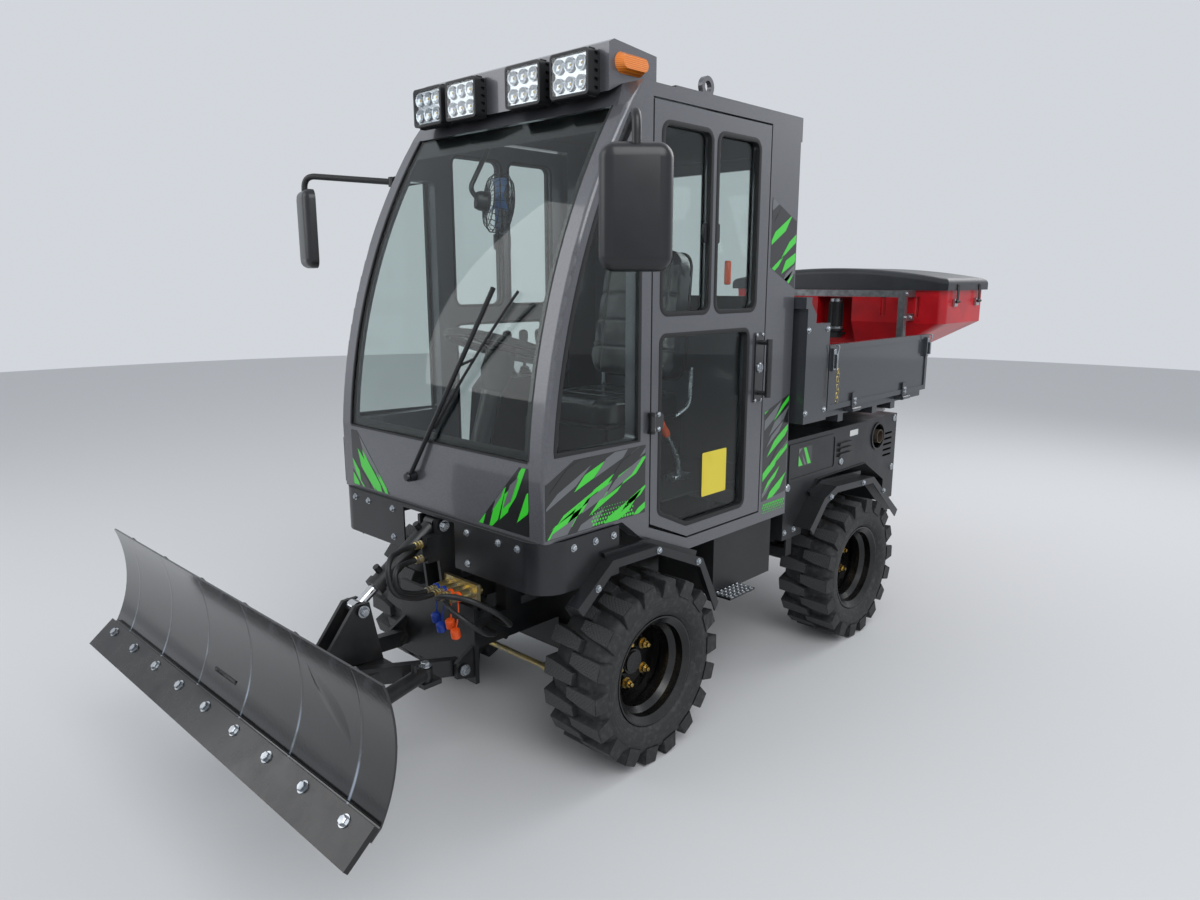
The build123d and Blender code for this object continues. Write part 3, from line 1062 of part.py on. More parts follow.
# Bolted cutting edge, laid against the front of the blade's bottom flange
edge_reach = 66.6
edge_lap = 28
edge_thickness = 14
edge_way = Vector(flange_way.X, 0, flange_way.Y)
edge_face = Vector(-edge_way.Z, 0, edge_way.X)
edge_seat = Vector(blade_foot[0], 0, blade_foot[1]) - edge_way * edge_lap + edge_face * seat_gap
with BuildPart() as cutting_edge:
    with BuildSketch(Plane(edge_seat, x_dir=edge_way, z_dir=(0, -1, 0))):
        Rectangle(edge_lap + edge_reach, edge_thickness, align=(Align.MIN, Align.MIN))
    extrude(amount=blade_half_width, both=True)
cutting_edge.part.label = "cutting_edge"
export_step(cutting_edge.part, "parts/cutting_edge.step")

# Lift cylinder: barrel on the tower's pin, rod eye on the lift frame's pin
lift_length = hypot(lift_eye_x - lift_pin_x, lift_eye_z - lift_pin_z)
lift_way = Vector((lift_eye_x - lift_pin_x) / lift_length, 0, (lift_eye_z - lift_pin_z) / lift_length)
lift_pin = Vector(lift_pin_x, 0, lift_pin_z)
lift_eye = Vector(lift_eye_x, 0, lift_eye_z)
lift_up = Vector(-lift_way.Z, 0, lift_way.X)
gland_length = 20
lift_barrel_length = 265
lift_rod_start = 100
with BuildPart() as lift_barrel:
    with BuildSketch(side(-22)):
        with Locations((lift_pin_x, lift_pin_z)):
            Circle(24)
            Circle(pin_radius + running_gap, mode=Mode.SUBTRACT)
    extrude(amount=-44)
    with BuildSketch(Plane(lift_pin + lift_way * 20, z_dir=lift_way)):
        Circle(26)
        Circle(16, mode=Mode.SUBTRACT)
    extrude(amount=lift_barrel_length - 20)
    with BuildSketch(Plane(lift_pin + lift_way * (lift_barrel_length - gland_length), z_dir=lift_way)):
        Circle(31)
        Circle(16, mode=Mode.SUBTRACT)
    extrude(amount=gland_length)
    for along in (48, lift_barrel_length - gland_length - 24):
        rod(lift_pin + lift_way * along + lift_up * 22, lift_pin + lift_way * along + lift_up * 46, 10)
lift_barrel.part.label = "lift_cylinder_barrel"
export_step(lift_barrel.part, "parts/lift_cylinder_barrel.step")
with BuildPart() as lift_rod:
    with BuildSketch(Plane(lift_pin + lift_way * lift_rod_start, z_dir=lift_way)):
        Circle(15)
    extrude(amount=lift_length - lift_rod_start - 18)
    with BuildSketch(side(-18)):
        with Locations((lift_eye_x, lift_eye_z)):
            Circle(22)
    extrude(amount=-36)
lift_rod.part.label = "lift_cylinder_rod"
export_step(lift_rod.part, "parts/lift_cylinder_rod.step")

# Swing cylinder: barrel on the lift frame's ear, rod eye on the blade's left-hand bracket
swing_length = (swing_eye - swing_pin).length
swing_way = (swing_eye - swing_pin) * (1 / swing_length)
swing_barrel_length = 270
swing_rod_start = 145
with BuildPart() as swing_barrel:
    with BuildSketch(Plane.XY.offset(swing_pin.Z - 16)):
        with Locations((swing_pin.X, swing_pin.Y)):
            Circle(20)
            Circle(pin_radius + running_gap, mode=Mode.SUBTRACT)
    extrude(amount=32)
    with BuildSketch(Plane(swing_pin + swing_way * 17, z_dir=swing_way)):
        Circle(22)
        Circle(13, mode=Mode.SUBTRACT)
    extrude(amount=swing_barrel_length - 17)
    with BuildSketch(Plane(swing_pin + swing_way * (swing_barrel_length - gland_length), z_dir=swing_way)):
        Circle(26)
        Circle(13, mode=Mode.SUBTRACT)
    extrude(amount=gland_length)
    for along in (46, swing_barrel_length - gland_length - 24):
        port = swing_pin + swing_way * along
        rod((port.X, port.Y, port.Z + 18), (port.X, port.Y, port.Z + 42), 9)
swing_barrel.part.label = "swing_cylinder_barrel"
export_step(swing_barrel.part, "parts/swing_cylinder_barrel.step")
with BuildPart() as swing_rod:
    with BuildSketch(Plane(swing_pin + swing_way * swing_rod_start, z_dir=swing_way)):
        Circle(12)
    extrude(amount=swing_length - swing_rod_start - 14)
    rod((swing_eye.X, swing_eye.Y, swing_eye.Z - 15), (swing_eye.X, swing_eye.Y, swing_eye.Z + 15), 18)
swing_rod.part.label = "swing_cylinder_rod"
export_step(swing_rod.part, "parts/swing_cylinder_rod.step")
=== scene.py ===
import random
from math import atan2, cos, pi, radians, sin, sqrt, tan

import bpy
import bmesh
from mathutils import Matrix, Vector


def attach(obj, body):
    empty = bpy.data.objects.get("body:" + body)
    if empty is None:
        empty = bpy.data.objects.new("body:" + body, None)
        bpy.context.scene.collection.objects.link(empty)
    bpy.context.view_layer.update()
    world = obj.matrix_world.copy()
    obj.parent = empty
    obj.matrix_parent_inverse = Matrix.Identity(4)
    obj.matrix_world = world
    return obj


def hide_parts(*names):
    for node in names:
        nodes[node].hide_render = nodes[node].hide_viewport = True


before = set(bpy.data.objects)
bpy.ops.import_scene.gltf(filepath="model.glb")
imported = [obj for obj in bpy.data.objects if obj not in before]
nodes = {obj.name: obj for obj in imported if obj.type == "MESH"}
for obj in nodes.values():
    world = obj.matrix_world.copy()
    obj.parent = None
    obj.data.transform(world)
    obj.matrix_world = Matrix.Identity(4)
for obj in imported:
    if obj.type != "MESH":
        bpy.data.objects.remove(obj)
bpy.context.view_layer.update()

front_axle_x = 0.641
rear_axle_x = front_axle_x - 1.3


# Camera at the photograph's place: high in front of the left corner. A wide lens looks down and back, so the near
# wheel and the blade's end come out larger than the rear of the machine.
def linked(name, data):
    """Object of the scene that shows this data."""
    thing = bpy.data.objects.new(name, data)
    bpy.context.collection.objects.link(thing)
    return thing


camera_bearing, camera_dip = radians(223.4), radians(-11.5)
camera_data = bpy.data.cameras.new("camera")
camera_data.lens = 25.46
camera_data.sensor_width = 36
camera_data.clip_start = 0.05
camera = linked("camera", camera_data)
camera_way = Vector((cos(camera_bearing) * cos(camera_dip), sin(camera_bearing) * cos(camera_dip), sin(camera_dip)))
camera.location = (front_axle_x + 1.866, 2.080, 1.468)
camera.rotation_euler = camera_way.to_track_quat("-Z", "Y").to_euler()
bpy.context.scene.camera = camera

# Overcast daylight: a broad soft sky, one large soft lamp high on the camera's left, a weaker one on its right and
# one from behind. They are aimed at the middle of the machine.
mid_height = Vector((0, 0, 0.9))
world = bpy.data.worlds.new("sky")
bpy.context.scene.world = world
world.use_nodes = True
sky = world.node_tree.nodes["Background"]
sky.inputs["Color"].default_value = (0.90, 0.94, 1.0, 1)
sky.inputs["Strength"].default_value = 0.72
for name, place, size, power in (("key", (2.6, 4.8, 5.4), 4.5, 215), ("fill", (4.8, -2.8, 3.4), 4.0, 85),
                                 ("rim", (-4.5, 1.0, 4.2), 3.5, 105)):
    lamp = bpy.data.lights.new(name, "AREA")
    lamp.size = size
    lamp.energy = power
    lamp_object = linked(name, lamp)
    lamp_object.location = place
    lamp_object.rotation_euler = (mid_height - Vector(place)).to_track_quat("-Z", "Y").to_euler()
bpy.context.scene.view_settings.view_transform = "Standard"


# Floor: plain pale ground, a big disc that takes the shadow. It belongs to the studio and not to the machine, so
# it stays out of the model.
def srgb(hex_code, alpha=1.0):
    """Linear colour of an sRGB hex value."""
    parts = [int(hex_code[i:i + 2], 16) / 255 for i in (1, 3, 5)]
    return [p / 12.92 if p <= 0.04045 else ((p + 0.055) / 1.055) ** 2.4 for p in parts] + [alpha]


def connect(node, links):
    """Links (input, source) pairs of a node; a source is an output, or a node for the first output it has in use."""
    for name, source in links:
        if isinstance(source, bpy.types.Node):
            source = next(output for output in source.outputs if output.enabled)
        node.id_data.links.new(source, node.inputs[name])


def add_node(tree, kind, links=(), **values):
    """Adds a node, sets its properties and inputs, and connects it; a kind with no Node in its name is a shader's."""
    node = tree.nodes.new(kind if "Node" in kind else "ShaderNode" + kind)
    inputs = values.pop("inputs", {})
    for name, value in values.items():
        setattr(node, name, value)
    for name, value in inputs.items():
        node.inputs[name].default_value = value
    connect(node, links)
    return node


def finish_of(name, color, roughness, metallic=0.0, **inputs):
    """New material: gives it, its tree, its Principled shader and the position on the piece in metres."""
    material = bpy.data.materials.new(name)
    material.use_nodes = True
    tree = material.node_tree
    shader = tree.nodes["Principled BSDF"]
    inputs.update(Base_Color=srgb(color), Roughness=roughness, Metallic=metallic)
    for key, value in inputs.items():
        shader.inputs[key.replace("_", " ")].default_value = value
    return material, tree, shader, add_node(tree, "TexCoord").outputs["Object"]


floor_radius, floor_corners = 14, 96
floor_mesh = bpy.data.meshes.new("floor")
turns = [2 * pi * n / floor_corners for n in range(floor_corners)]
floor_mesh.from_pydata([(floor_radius * cos(a), floor_radius * sin(a), 0) for a in turns], [],
                       [tuple(range(floor_corners))])
floor_mesh.materials.append(finish_of("pale_ground", "#c9cacb", 0.9)[0])
linked("floor", floor_mesh)


# Chassis, axles, knuckles and hitch: welded steel, shot-blasted and powder coated satin black. The coat
# has a fine orange peel and picks up pale road dust low down.
def smooth_step(low, high):
    """Settings that turn a value into 0 at low and 1 at high, with a smooth step between."""
    return {"interpolation_type": "SMOOTHSTEP", "inputs": {"From Min": low, "From Max": high}}


def tones_of(*colors):
    """Settings that mix from the first colour to the second; the last given is the second."""
    return {"data_type": "RGBA", "inputs": {name: srgb(color) for name, color in zip("BA", reversed(colors))}}


def clouded(name, color, roughness, scale, detail=2.0, tones=None, span=None, polish=None, relief=None, grain=None,
            metallic=0.0, **inputs):
    """Finish with a cloud of noise. It shifts the colour from tone to tone, over a span of its value if given, and the
    roughness by polish (from, to, lowest, highest). Relief (strength, distance) follows it, or a finer grain (scale,
    detail) of its own."""
    material, tree, shader, point = finish_of(name, color, roughness, metallic, **inputs)
    cloud = add_node(tree, "TexNoise", [("Vector", point)], inputs={"Scale": scale, "Detail": detail})
    if tones:
        share = add_node(tree, "MapRange", [("Value", cloud)], **smooth_step(*span)) if span else cloud
        connect(shader, [("Base Color", add_node(tree, "Mix", [("Factor", share)], **tones_of(*tones)))])
    if polish:
        limits = dict(zip(("From Min", "From Max", "To Min", "To Max"), polish))
        connect(shader, [("Roughness", add_node(tree, "MapRange", [("Value", cloud)], inputs=limits))])
    if grain:
        cloud = add_node(tree, "TexNoise", [("Vector", point)], inputs={"Scale": grain[0], "Detail": grain[1]})
    if relief:
        depth = {"Strength": relief[0], "Distance": relief[1]}
        connect(shader, [("Normal", add_node(tree, "Bump", [("Height", cloud)], inputs=depth))])
    return material


def powder_coat(name, color, dusty, roughness, peel_mm=3.0, dust_top=0.55, strength=0.12):
    """Powder coat with orange peel and dust that fades out above dust_top metres."""
    material, tree, shader, point = finish_of(name, color, roughness)
    peel = add_node(tree, "TexNoise", [("Vector", point)], inputs={"Scale": 1000 / peel_mm, "Detail": 1.0})
    patch = add_node(tree, "TexNoise", [("Vector", point)], inputs={"Scale": 9.0, "Detail": 5.0, "Roughness": 0.65})
    height = add_node(tree, "SeparateXYZ", [("Vector", point)]).outputs["Z"]
    low = add_node(tree, "MapRange", [("Value", height)],
                   inputs={"From Min": 0.05, "From Max": dust_top, "To Min": 0.5, "To Max": 0.08})
    patches = add_node(tree, "MapRange", [("Value", patch)], **smooth_step(0.42, 0.75))
    dust = add_node(tree, "Math", [(0, patches), (1, low)], operation="MULTIPLY")
    rough = add_node(tree, "MapRange", [("Value", patch)],
                     inputs={"From Min": 0.3, "From Max": 0.7, "To Min": roughness - 0.06, "To Max": roughness + 0.14})
    bump = add_node(tree, "Bump", [("Height", peel)], inputs={"Strength": strength, "Distance": 0.001})
    dusted = add_node(tree, "Mix", [("Factor", dust)], **tones_of(color, dusty))
    connect(shader, [("Base Color", dusted), ("Roughness", rough), ("Normal", bump)])
    return material


def dress(material, *names):
    """Gives CAD nodes their material."""
    for name in names:
        mesh = nodes[name].data
        mesh.materials.clear()
        mesh.materials.append(material)


black_coat = powder_coat("powder_coated_steel_black", "#131416", "#4a4844", 0.38)
dress(black_coat, "chassis_frame", "axles", "knuckle_left", "knuckle_right", "hitch_tower", "lift_frame",
      "door_hinges", "side_skirts", "spinner_drive", "lift_cylinder_barrel", "swing_cylinder_barrel")
dress(powder_coat("cast_block_grey", "#3a3c3e", "#55524c", 0.6), "engine_block")


# Fasteners of the running gear: zinc plated hexagon bolts and nuts, placed one by one on their seats. The tie rod
# has the yellow plate, and the bolts the bright one.
def placed(place, way=(0, 0, 1), turn=0.0):
    """Matrix that puts local Z along way at a place, turned about it."""
    turned = Vector(way).to_track_quat("Z", "Y").to_matrix().to_4x4() @ Matrix.Rotation(turn, 4, "Z")
    return Matrix.Translation(Vector(place)) @ turned


def around(matrix, count, shift=0.0):
    """Matrices of count copies turned evenly about the matrix's local Z; shift is in steps."""
    return [matrix @ Matrix.Rotation(2 * pi * (n + shift) / count, 4, "Z") for n in range(count)]


def circle_of(radius, count, x=0.0, y=0.0):
    """Outline of a regular polygon."""
    return [(x + radius * cos(2 * pi * n / count), y + radius * sin(2 * pi * n / count)) for n in range(count)]


def skin(bm, rings, loop=False):
    """Faces from each ring of corners to the next, and to the first in a loop; a ring of one corner is a pole."""
    for first, second in zip(rings, rings[1:] + (rings[:1] if loop else [])):
        for n in range(max(len(first), len(second))):
            here, there = [(ring[n % len(ring)], ring[(n + 1) % len(ring)]) for ring in (first, second)]
            bm.faces.new(list(dict.fromkeys((here[0], here[1], there[1], there[0]))))


def add_turned(bm, profile, matrix=Matrix.Identity(4), steps=24, loop=False):
    """Surface of revolution of (radius, height) points about local Z; a radius of 0 closes in a pole."""
    rings = []
    for radius, height in profile:
        if radius == 0:
            rings.append([bm.verts.new(matrix @ Vector((0, 0, height)))])
        else:
            rings.append([bm.verts.new(matrix @ Vector((x, y, height))) for x, y in circle_of(radius, steps)])
    skin(bm, rings, loop)
    return bm


def add_prism(bm, outline, depth, matrix=Matrix.Identity(4), bevel=0.0, rings=1):
    """Prism of a local XY outline along local Z, with rounded edges."""
    foot = [bm.verts.new(matrix @ Vector((x, y, 0))) for x, y in outline]
    head = [bm.verts.new(matrix @ Vector((x, y, depth))) for x, y in outline]
    bm.faces.new(foot[::-1])
    bm.faces.new(head)
    skin(bm, [foot, head])
    if bevel:
        edges = list({edge for corner in foot + head for edge in corner.link_edges})
        bmesh.ops.bevel(bm, geom=edges, offset=bevel, segments=rings, affect="EDGES", clamp_overlap=True)
    return bm


def box_outline(x0, y0, x1, y1):
    """Corners of a rectangle."""
    return [(x0, y0), (x1, y0), (x1, y1), (x0, y1)]


def add_slab(bm, low, high, bevel=0.0015, rings=1):
    """Block between two corners, with rounded edges."""
    place = Matrix.Translation((0, 0, low[2]))
    return add_prism(bm, box_outline(*low[:2], *high[:2]), high[2] - low[2], place, bevel, rings)


def mesh_of(name, bm, smooth=38):
    """Mesh of a bmesh, outward faces, with edges sharper than smooth degrees kept sharp."""
    bmesh.ops.recalc_face_normals(bm, faces=bm.faces)
    for face in bm.faces:
        face.smooth = True
    for edge in bm.edges:
        edge.smooth = len(edge.link_faces) == 2 and edge.calc_face_angle(0) < radians(smooth)
    mesh = bpy.data.meshes.new(name)
    bm.to_mesh(mesh)
    bm.free()
    return mesh


def piece_of(name, shape, material, body="chassis", smooth=38):
    """Finished piece of a bmesh or mesh that is in place, with its finish and body."""
    mesh = shape if isinstance(shape, bpy.types.Mesh) else mesh_of(name, shape, smooth)
    piece = linked(name, mesh)
    mesh.materials.clear()
    mesh.materials.append(material)
    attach(piece, body)
    return piece


repeat_tree = bpy.data.node_groups.new("repeat_on_points", "GeometryNodeTree")
for name, kind in (("Geometry", "Geometry"), ("Piece", "Object"), ("Size", "Float"), ("Finish", "Material")):
    repeat_tree.interface.new_socket(name, in_out="INPUT", socket_type="NodeSocket" + kind)
repeat_tree.interface.new_socket("Geometry", in_out="OUTPUT", socket_type="NodeSocketGeometry")
given = add_node(repeat_tree, "NodeGroupInput").outputs
pattern = add_node(repeat_tree, "GeometryNodeObjectInfo", [("Object", given["Piece"])])
turn = add_node(repeat_tree, "GeometryNodeInputNamedAttribute", data_type="FLOAT_VECTOR", inputs={"Name": "turn"})
growth = add_node(repeat_tree, "GeometryNodeInputNamedAttribute", data_type="FLOAT", inputs={"Name": "growth"})
rotation = add_node(repeat_tree, "FunctionNodeEulerToRotation", [("Euler", turn)])
scale = add_node(repeat_tree, "Math", [(0, growth), (1, given["Size"])], operation="MULTIPLY")
spread = add_node(repeat_tree, "GeometryNodeInstanceOnPoints",
                  [("Points", given["Geometry"]), ("Instance", pattern.outputs["Geometry"]),
                   ("Rotation", rotation), ("Scale", scale)])
real = add_node(repeat_tree, "GeometryNodeRealizeInstances", [("Geometry", spread)])
painted = add_node(repeat_tree, "GeometryNodeSetMaterial", [("Geometry", real), ("Material", given["Finish"])])
add_node(repeat_tree, "NodeGroupOutput", [("Geometry", painted)])


def result_of(thing):
    """Plain mesh of an object with its modifiers applied; the object goes."""
    mesh = bpy.data.meshes.new_from_object(thing.evaluated_get(bpy.context.evaluated_depsgraph_get()))
    bpy.data.objects.remove(thing)
    return mesh


def repeated(name, pattern_mesh, places, material, body="chassis", size=1.0):
    """One piece of many like shapes: the pattern mesh at each matrix of places, by the repeat tree."""
    points = bpy.data.meshes.new(name + "_points")
    points.from_pydata([m.translation for m in places], [], [])
    points.attributes.new("turn", "FLOAT_VECTOR", "POINT")
    points.attributes.new("growth", "FLOAT", "POINT")
    points.attributes["turn"].data.foreach_set("vector", [a for m in places for a in m.to_euler()])
    points.attributes["growth"].data.foreach_set("value", [m.to_scale().x for m in places])
    carrier = linked(name + "_points", points)
    pattern_object = linked(name + "_pattern", pattern_mesh)
    modifier = carrier.modifiers.new("repeat", "NODES")
    modifier.node_group = repeat_tree
    values = {"Piece": pattern_object, "Size": size, "Finish": material}
    for socket in repeat_tree.interface.items_tree:
        if socket.in_out == "INPUT" and socket.name in values:
            modifier[socket.identifier] = values[socket.name]
    whole = result_of(carrier)
    bpy.data.objects.remove(pattern_object)
    whole.name = name
    return piece_of(name, whole, material, body)


def hex_bolt(name, across, height, washer=1.35, shank=0.0):
    """Pattern of a hexagon head on a washer, seat at local Z 0; a shank sticks out if it has a length."""
    bm = bmesh.new()
    add_turned(bm, [(0, -0.001), (across * washer / 2, -0.001), (across * washer / 2, across * 0.1),
                    (0, across * 0.1)], steps=20)
    radius = across / sqrt(3)
    add_turned(bm, [(0, across * 0.1), (radius, across * 0.1), (radius, height * 0.86), (radius * 0.86, height),
                    (0, height)], steps=6)
    if shank:
        add_turned(bm, [(0, height * 0.9), (across * 0.29, height * 0.9), (across * 0.29, height + shank - 0.001),
                        (across * 0.24, height + shank), (0, height + shank)], steps=14)
    return mesh_of(name, bm, 30)


def zinc_plate(name, color, other, roughness=0.34):
    """Chromated zinc: faint rainbow clouds on dull metal."""
    return clouded(name, color, roughness, 45.0, 4.0, (color, other), (0.35, 0.65),
                   (0.3, 0.7, roughness - 0.08, roughness + 0.12), metallic=0.9)


yellow_zinc = zinc_plate("yellow_zinc_plate", "#c2ad6b", "#a69d85")
bright_zinc = zinc_plate("bright_zinc_plate", "#b4b8bc", "#9aa0a6", 0.26)
dress(yellow_zinc, "tie_rod")


# Tyres: new moulded rubber with an industrial lug tread. The lug tops carry a knurl of crossed lines, and the
# side wall has the fine rings of its mould. Each replaces the flat-faced tyre of the solids.
wheel_y, wheel_radius = 0.463, 0.29
knurl_step, mould_ring_step = 0.0065, 0.005


def tyre_rubber(name, axle_x, side):
    """Moulded rubber with knurled lug tops, centred on one wheel."""
    material, tree, shader, point = finish_of(name, "#1f2021", 0.62)
    shift = add_node(tree, "Mapping", [("Vector", point)],
                     inputs={"Location": (-axle_x, -side * wheel_y, -wheel_radius)})
    axes = add_node(tree, "SeparateXYZ", [("Vector", shift)]).outputs
    angle = add_node(tree, "Math", [(0, axes["Z"]), (1, axes["X"])], operation="ARCTAN2")
    arc = add_node(tree, "Math", [(0, angle)], operation="MULTIPLY", inputs={1: wheel_radius})
    radial = add_node(tree, "VectorMath", [(0, shift)], operation="MULTIPLY", inputs={1: (1, 0, 1)})
    radius = add_node(tree, "VectorMath", [(0, radial)], operation="LENGTH")
    cuts = []
    for sign in (1, -1):
        line = add_node(tree, "Math", [(0, axes["Y"]), (2, arc)], operation="MULTIPLY_ADD", inputs={1: sign})
        wave = add_node(tree, "Math", [(0, line)], operation="PINGPONG", inputs={1: knurl_step})
        cuts.append(add_node(tree, "MapRange", [("Value", wave)], inputs={"From Min": 0.0006, "From Max": 0.0022}))
    knurl = add_node(tree, "Math", [(0, cuts[0]), (1, cuts[1])], operation="MINIMUM")
    on_top = add_node(tree, "MapRange", [("Value", radius)], **smooth_step(0.2872, 0.2885))
    cut_in = add_node(tree, "Math", [(0, knurl)], operation="SUBTRACT", inputs={1: 1.0})
    lug_knurl_and_fold_sheen = add_node(tree, "Math", [(0, cut_in), (1, on_top)], operation="MULTIPLY")
    rings = add_node(tree, "Math", [(0, radius)], operation="PINGPONG", inputs={1: mould_ring_step})
    ring_height = add_node(tree, "MapRange", [("Value", rings)],
                           inputs={"From Min": 0.0038, "From Max": mould_ring_step, "To Max": 0.4})
    on_wall = add_node(tree, "MapRange", [("Value", radius)], **smooth_step(0.236, 0.232))
    height = add_node(tree, "Math", [(0, ring_height), (1, on_wall), (2, lug_knurl_and_fold_sheen)], operation="MULTIPLY_ADD")
    grain = add_node(tree, "TexNoise", [("Vector", point)], inputs={"Scale": 60.0, "Detail": 6.0})
    dust = add_node(tree, "MapRange", [("Value", grain)], **smooth_step(0.45, 0.78))
    wall = add_node(tree, "Mix", [("Factor", dust)], **tones_of("#1f2021", "#38393a"))
    whole = add_node(tree, "Mix", [("Factor", on_top), ("A", wall)], **tones_of("#3c3d3e"))
    bump = add_node(tree, "Bump", [("Height", height)], inputs={"Strength": 1.0, "Distance": 0.0018})
    connect(shader, [("Base Color", whole), ("Normal", bump)])
    return material


# radius and offset from the wheel's middle plane, from the bead to the crown
carcass_line = [(0.1545, 0.0715), (0.1722, 0.0822), (0.1765, 0.0905), (0.190, 0.099), (0.209, 0.105),
                (0.226, 0.106), (0.240, 0.1035), (0.2515, 0.0975), (0.2615, 0.0865), (0.2675, 0.070),
                (0.2705, 0.045), (0.2718, 0.015)]
# across and along the tread; the lug's foot is 2 mm wider than its top all round
lug_outline = [(-0.011, -0.013), (0.040, -0.024), (0.1062, -0.033), (0.1062, 0.0185), (0.046, 0.0195),
               (-0.011, 0.022)]
lug_top_radius = 0.2897
lug_foot_radii = (0.266, 0.264, 0.236, 0.236, 0.264, 0.266)
lug_count = 18
bm = bmesh.new()
head = [bm.verts.new((sqrt(lug_top_radius ** 2 - c * c), -c, a)) for a, c in lug_outline]
foot = [bm.verts.new((r, -(c * 1.13 + (0.0022 if c > 0 else -0.0022)),
                      a + (0.001 if a > 0.1 else -0.003 if a < 0 else 0)))
        for (a, c), r in zip(lug_outline, lug_foot_radii)]
bm.faces.new(head)
skin(bm, [foot, head])
top_edges = [edge for edge in bm.edges if all(v in head for v in edge.verts)]
side_edges = [edge for edge in bm.edges if len({v in head for v in edge.verts}) == 2]
bmesh.ops.bevel(bm, geom=top_edges + side_edges, offset=0.0022, segments=2, affect="EDGES")
lug_pattern = mesh_of("tyre_lug", bm, 50)
sides = (("left", 1), ("right", -1))
wheels = [(f"{end}_{hand}", axle_x, side,
           Matrix(((1, 0, 0, axle_x), (0, 0, side, side * wheel_y), (0, -side, 0, wheel_radius), (0, 0, 0, 1))))
          for end, axle_x in (("front", front_axle_x), ("rear", rear_axle_x)) for hand, side in sides]
for place, axle_x, side, wheel in wheels:
    rubber = tyre_rubber(f"moulded_tyre_rubber_{place}", axle_x, side)
    lugs = around(wheel, lug_count)
    lugs += [turned @ Matrix.Rotation(pi, 4, "X") for turned in around(wheel, lug_count, 0.5)]
    repeated(f"tyre_tread_{place}", lug_pattern, lugs, rubber, f"wheel_{place}")
    profile = carcass_line + [(r, -y) for r, y in reversed(carcass_line)]
    carcass = piece_of(f"tyre_carcass_{place}", add_turned(bmesh.new(), profile, wheel, 72, loop=True),
                       rubber, f"wheel_{place}", 60)
    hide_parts(f"tyre_{place}")


# Rims: welded steel discs in gloss black enamel. Each is held by five brass-coloured flange nuts on the hub's studs,
# which stand out of the nuts.
rim_enamel = powder_coat("gloss_black_rim_enamel", "#0d0d0e", "#2e2c29", 0.2, peel_mm=5, dust_top=0.6, strength=0.05)
brass_zinc = zinc_plate("passivated_wheel_nut", "#c7a556", "#a8925e", 0.24)
wheel_nut = hex_bolt("wheel_nut", 0.0235, 0.017, 1.5, shank=0.011)
for place, axle_x, side, wheel in wheels:
    dress(rim_enamel, f"rim_{place}")
    nuts = [turned @ Matrix.Translation((0.070, 0, -0.0158)) for turned in around(wheel, 5)]
    repeated(f"wheel_nuts_{place}", wheel_nut, nuts, brass_zinc, f"wheel_{place}")


# Cab shell: folded steel panels in dark metallic two-coat paint. The clear coat gives sharp reflections over a
# softer flake layer. What stands proud of a door's skin, its pull handle and hinge leaves, is black.
def flake_paint(name, color, flake_color, roughness=0.4, proud_y=None):
    """Metallic paint: fine flakes under a clear coat; black where |y| is past proud_y."""
    material, tree, shader, point = finish_of(name, color, roughness, 0.55, Coat_Weight=0.8, Coat_Roughness=0.07)
    flake = add_node(tree, "TexVoronoi", [("Vector", point)], inputs={"Scale": 700.0})
    glint = add_node(tree, "MapRange", [("Value", flake)], **smooth_step(0.25, 0.75))
    paint = add_node(tree, "Mix", [("Factor", glint)], **tones_of(color, flake_color))
    if proud_y:
        side = add_node(tree, "SeparateXYZ", [("Vector", point)]).outputs["Y"]
        reach = add_node(tree, "Math", [(0, side)], operation="ABSOLUTE")
        proud = add_node(tree, "MapRange", [("Value", reach)], **smooth_step(proud_y, proud_y + 0.0006))
        paint = add_node(tree, "Mix", [("Factor", proud), ("A", paint)], **tones_of("#131416"))
        metal = add_node(tree, "MapRange", [("Value", proud)], inputs={"To Min": 0.55, "To Max": 0.0})
        connect(shader, [("Metallic", metal)])
    wave = add_node(tree, "TexNoise", [("Vector", point)], inputs={"Scale": 260.0, "Detail": 1.0})
    bump = add_node(tree, "Bump", [("Height", wave)], inputs={"Strength": 0.05, "Distance": 0.001})
    connect(shader, [("Base Color", paint), ("Normal", bump)])
    return material


cab_paint = flake_paint("metallic_cab_paint", "#515257", "#67686d")
dress(cab_paint, "cab_frame", "cab_roof", "cab_front_panel", "cab_rear_wall", "light_bar")
dress(flake_paint("metallic_door_paint", "#515257", "#67686d", proud_y=0.5028), "door_left", "door_right")

cab_half_width = 0.502
cab_front_x = 1.050


def arc_through(first, middle, last, count):
    """Points on the arc through three (x, z) points."""
    (ax, ay), (bx, by), (cx, cy) = first, middle, last
    twice = 2 * (ax * (by - cy) + bx * (cy - ay) + cx * (ay - by))
    ux = ((ax * ax + ay * ay) * (by - cy) + (bx * bx + by * by) * (cy - ay) + (cx * cx + cy * cy) * (ay - by)) / twice
    uy = ((ax * ax + ay * ay) * (cx - bx) + (bx * bx + by * by) * (ax - cx) + (cx * cx + cy * cy) * (bx - ax)) / twice
    radius = sqrt((ax - ux) ** 2 + (ay - uy) ** 2)
    start, end = atan2(ay - uy, ax - ux), atan2(cy - uy, cx - ux)
    angles = [start + (end - start) * n / count for n in range(count + 1)]
    return [(ux + radius * cos(angle), uy + radius * sin(angle)) for angle in angles]


glass_line = arc_through((1.046, 0.990), (0.9465, 1.4705), (0.723, 1.919), 40)


def glass_x(z):
    """Forward reach of the windshield's outer face at height z."""
    for (x0, z0), (x1, z1) in zip(glass_line, glass_line[1:]):
        if z <= z1:
            return x0 + (x1 - x0) * (z - z0) / (z1 - z0)
    return glass_line[-1][0]


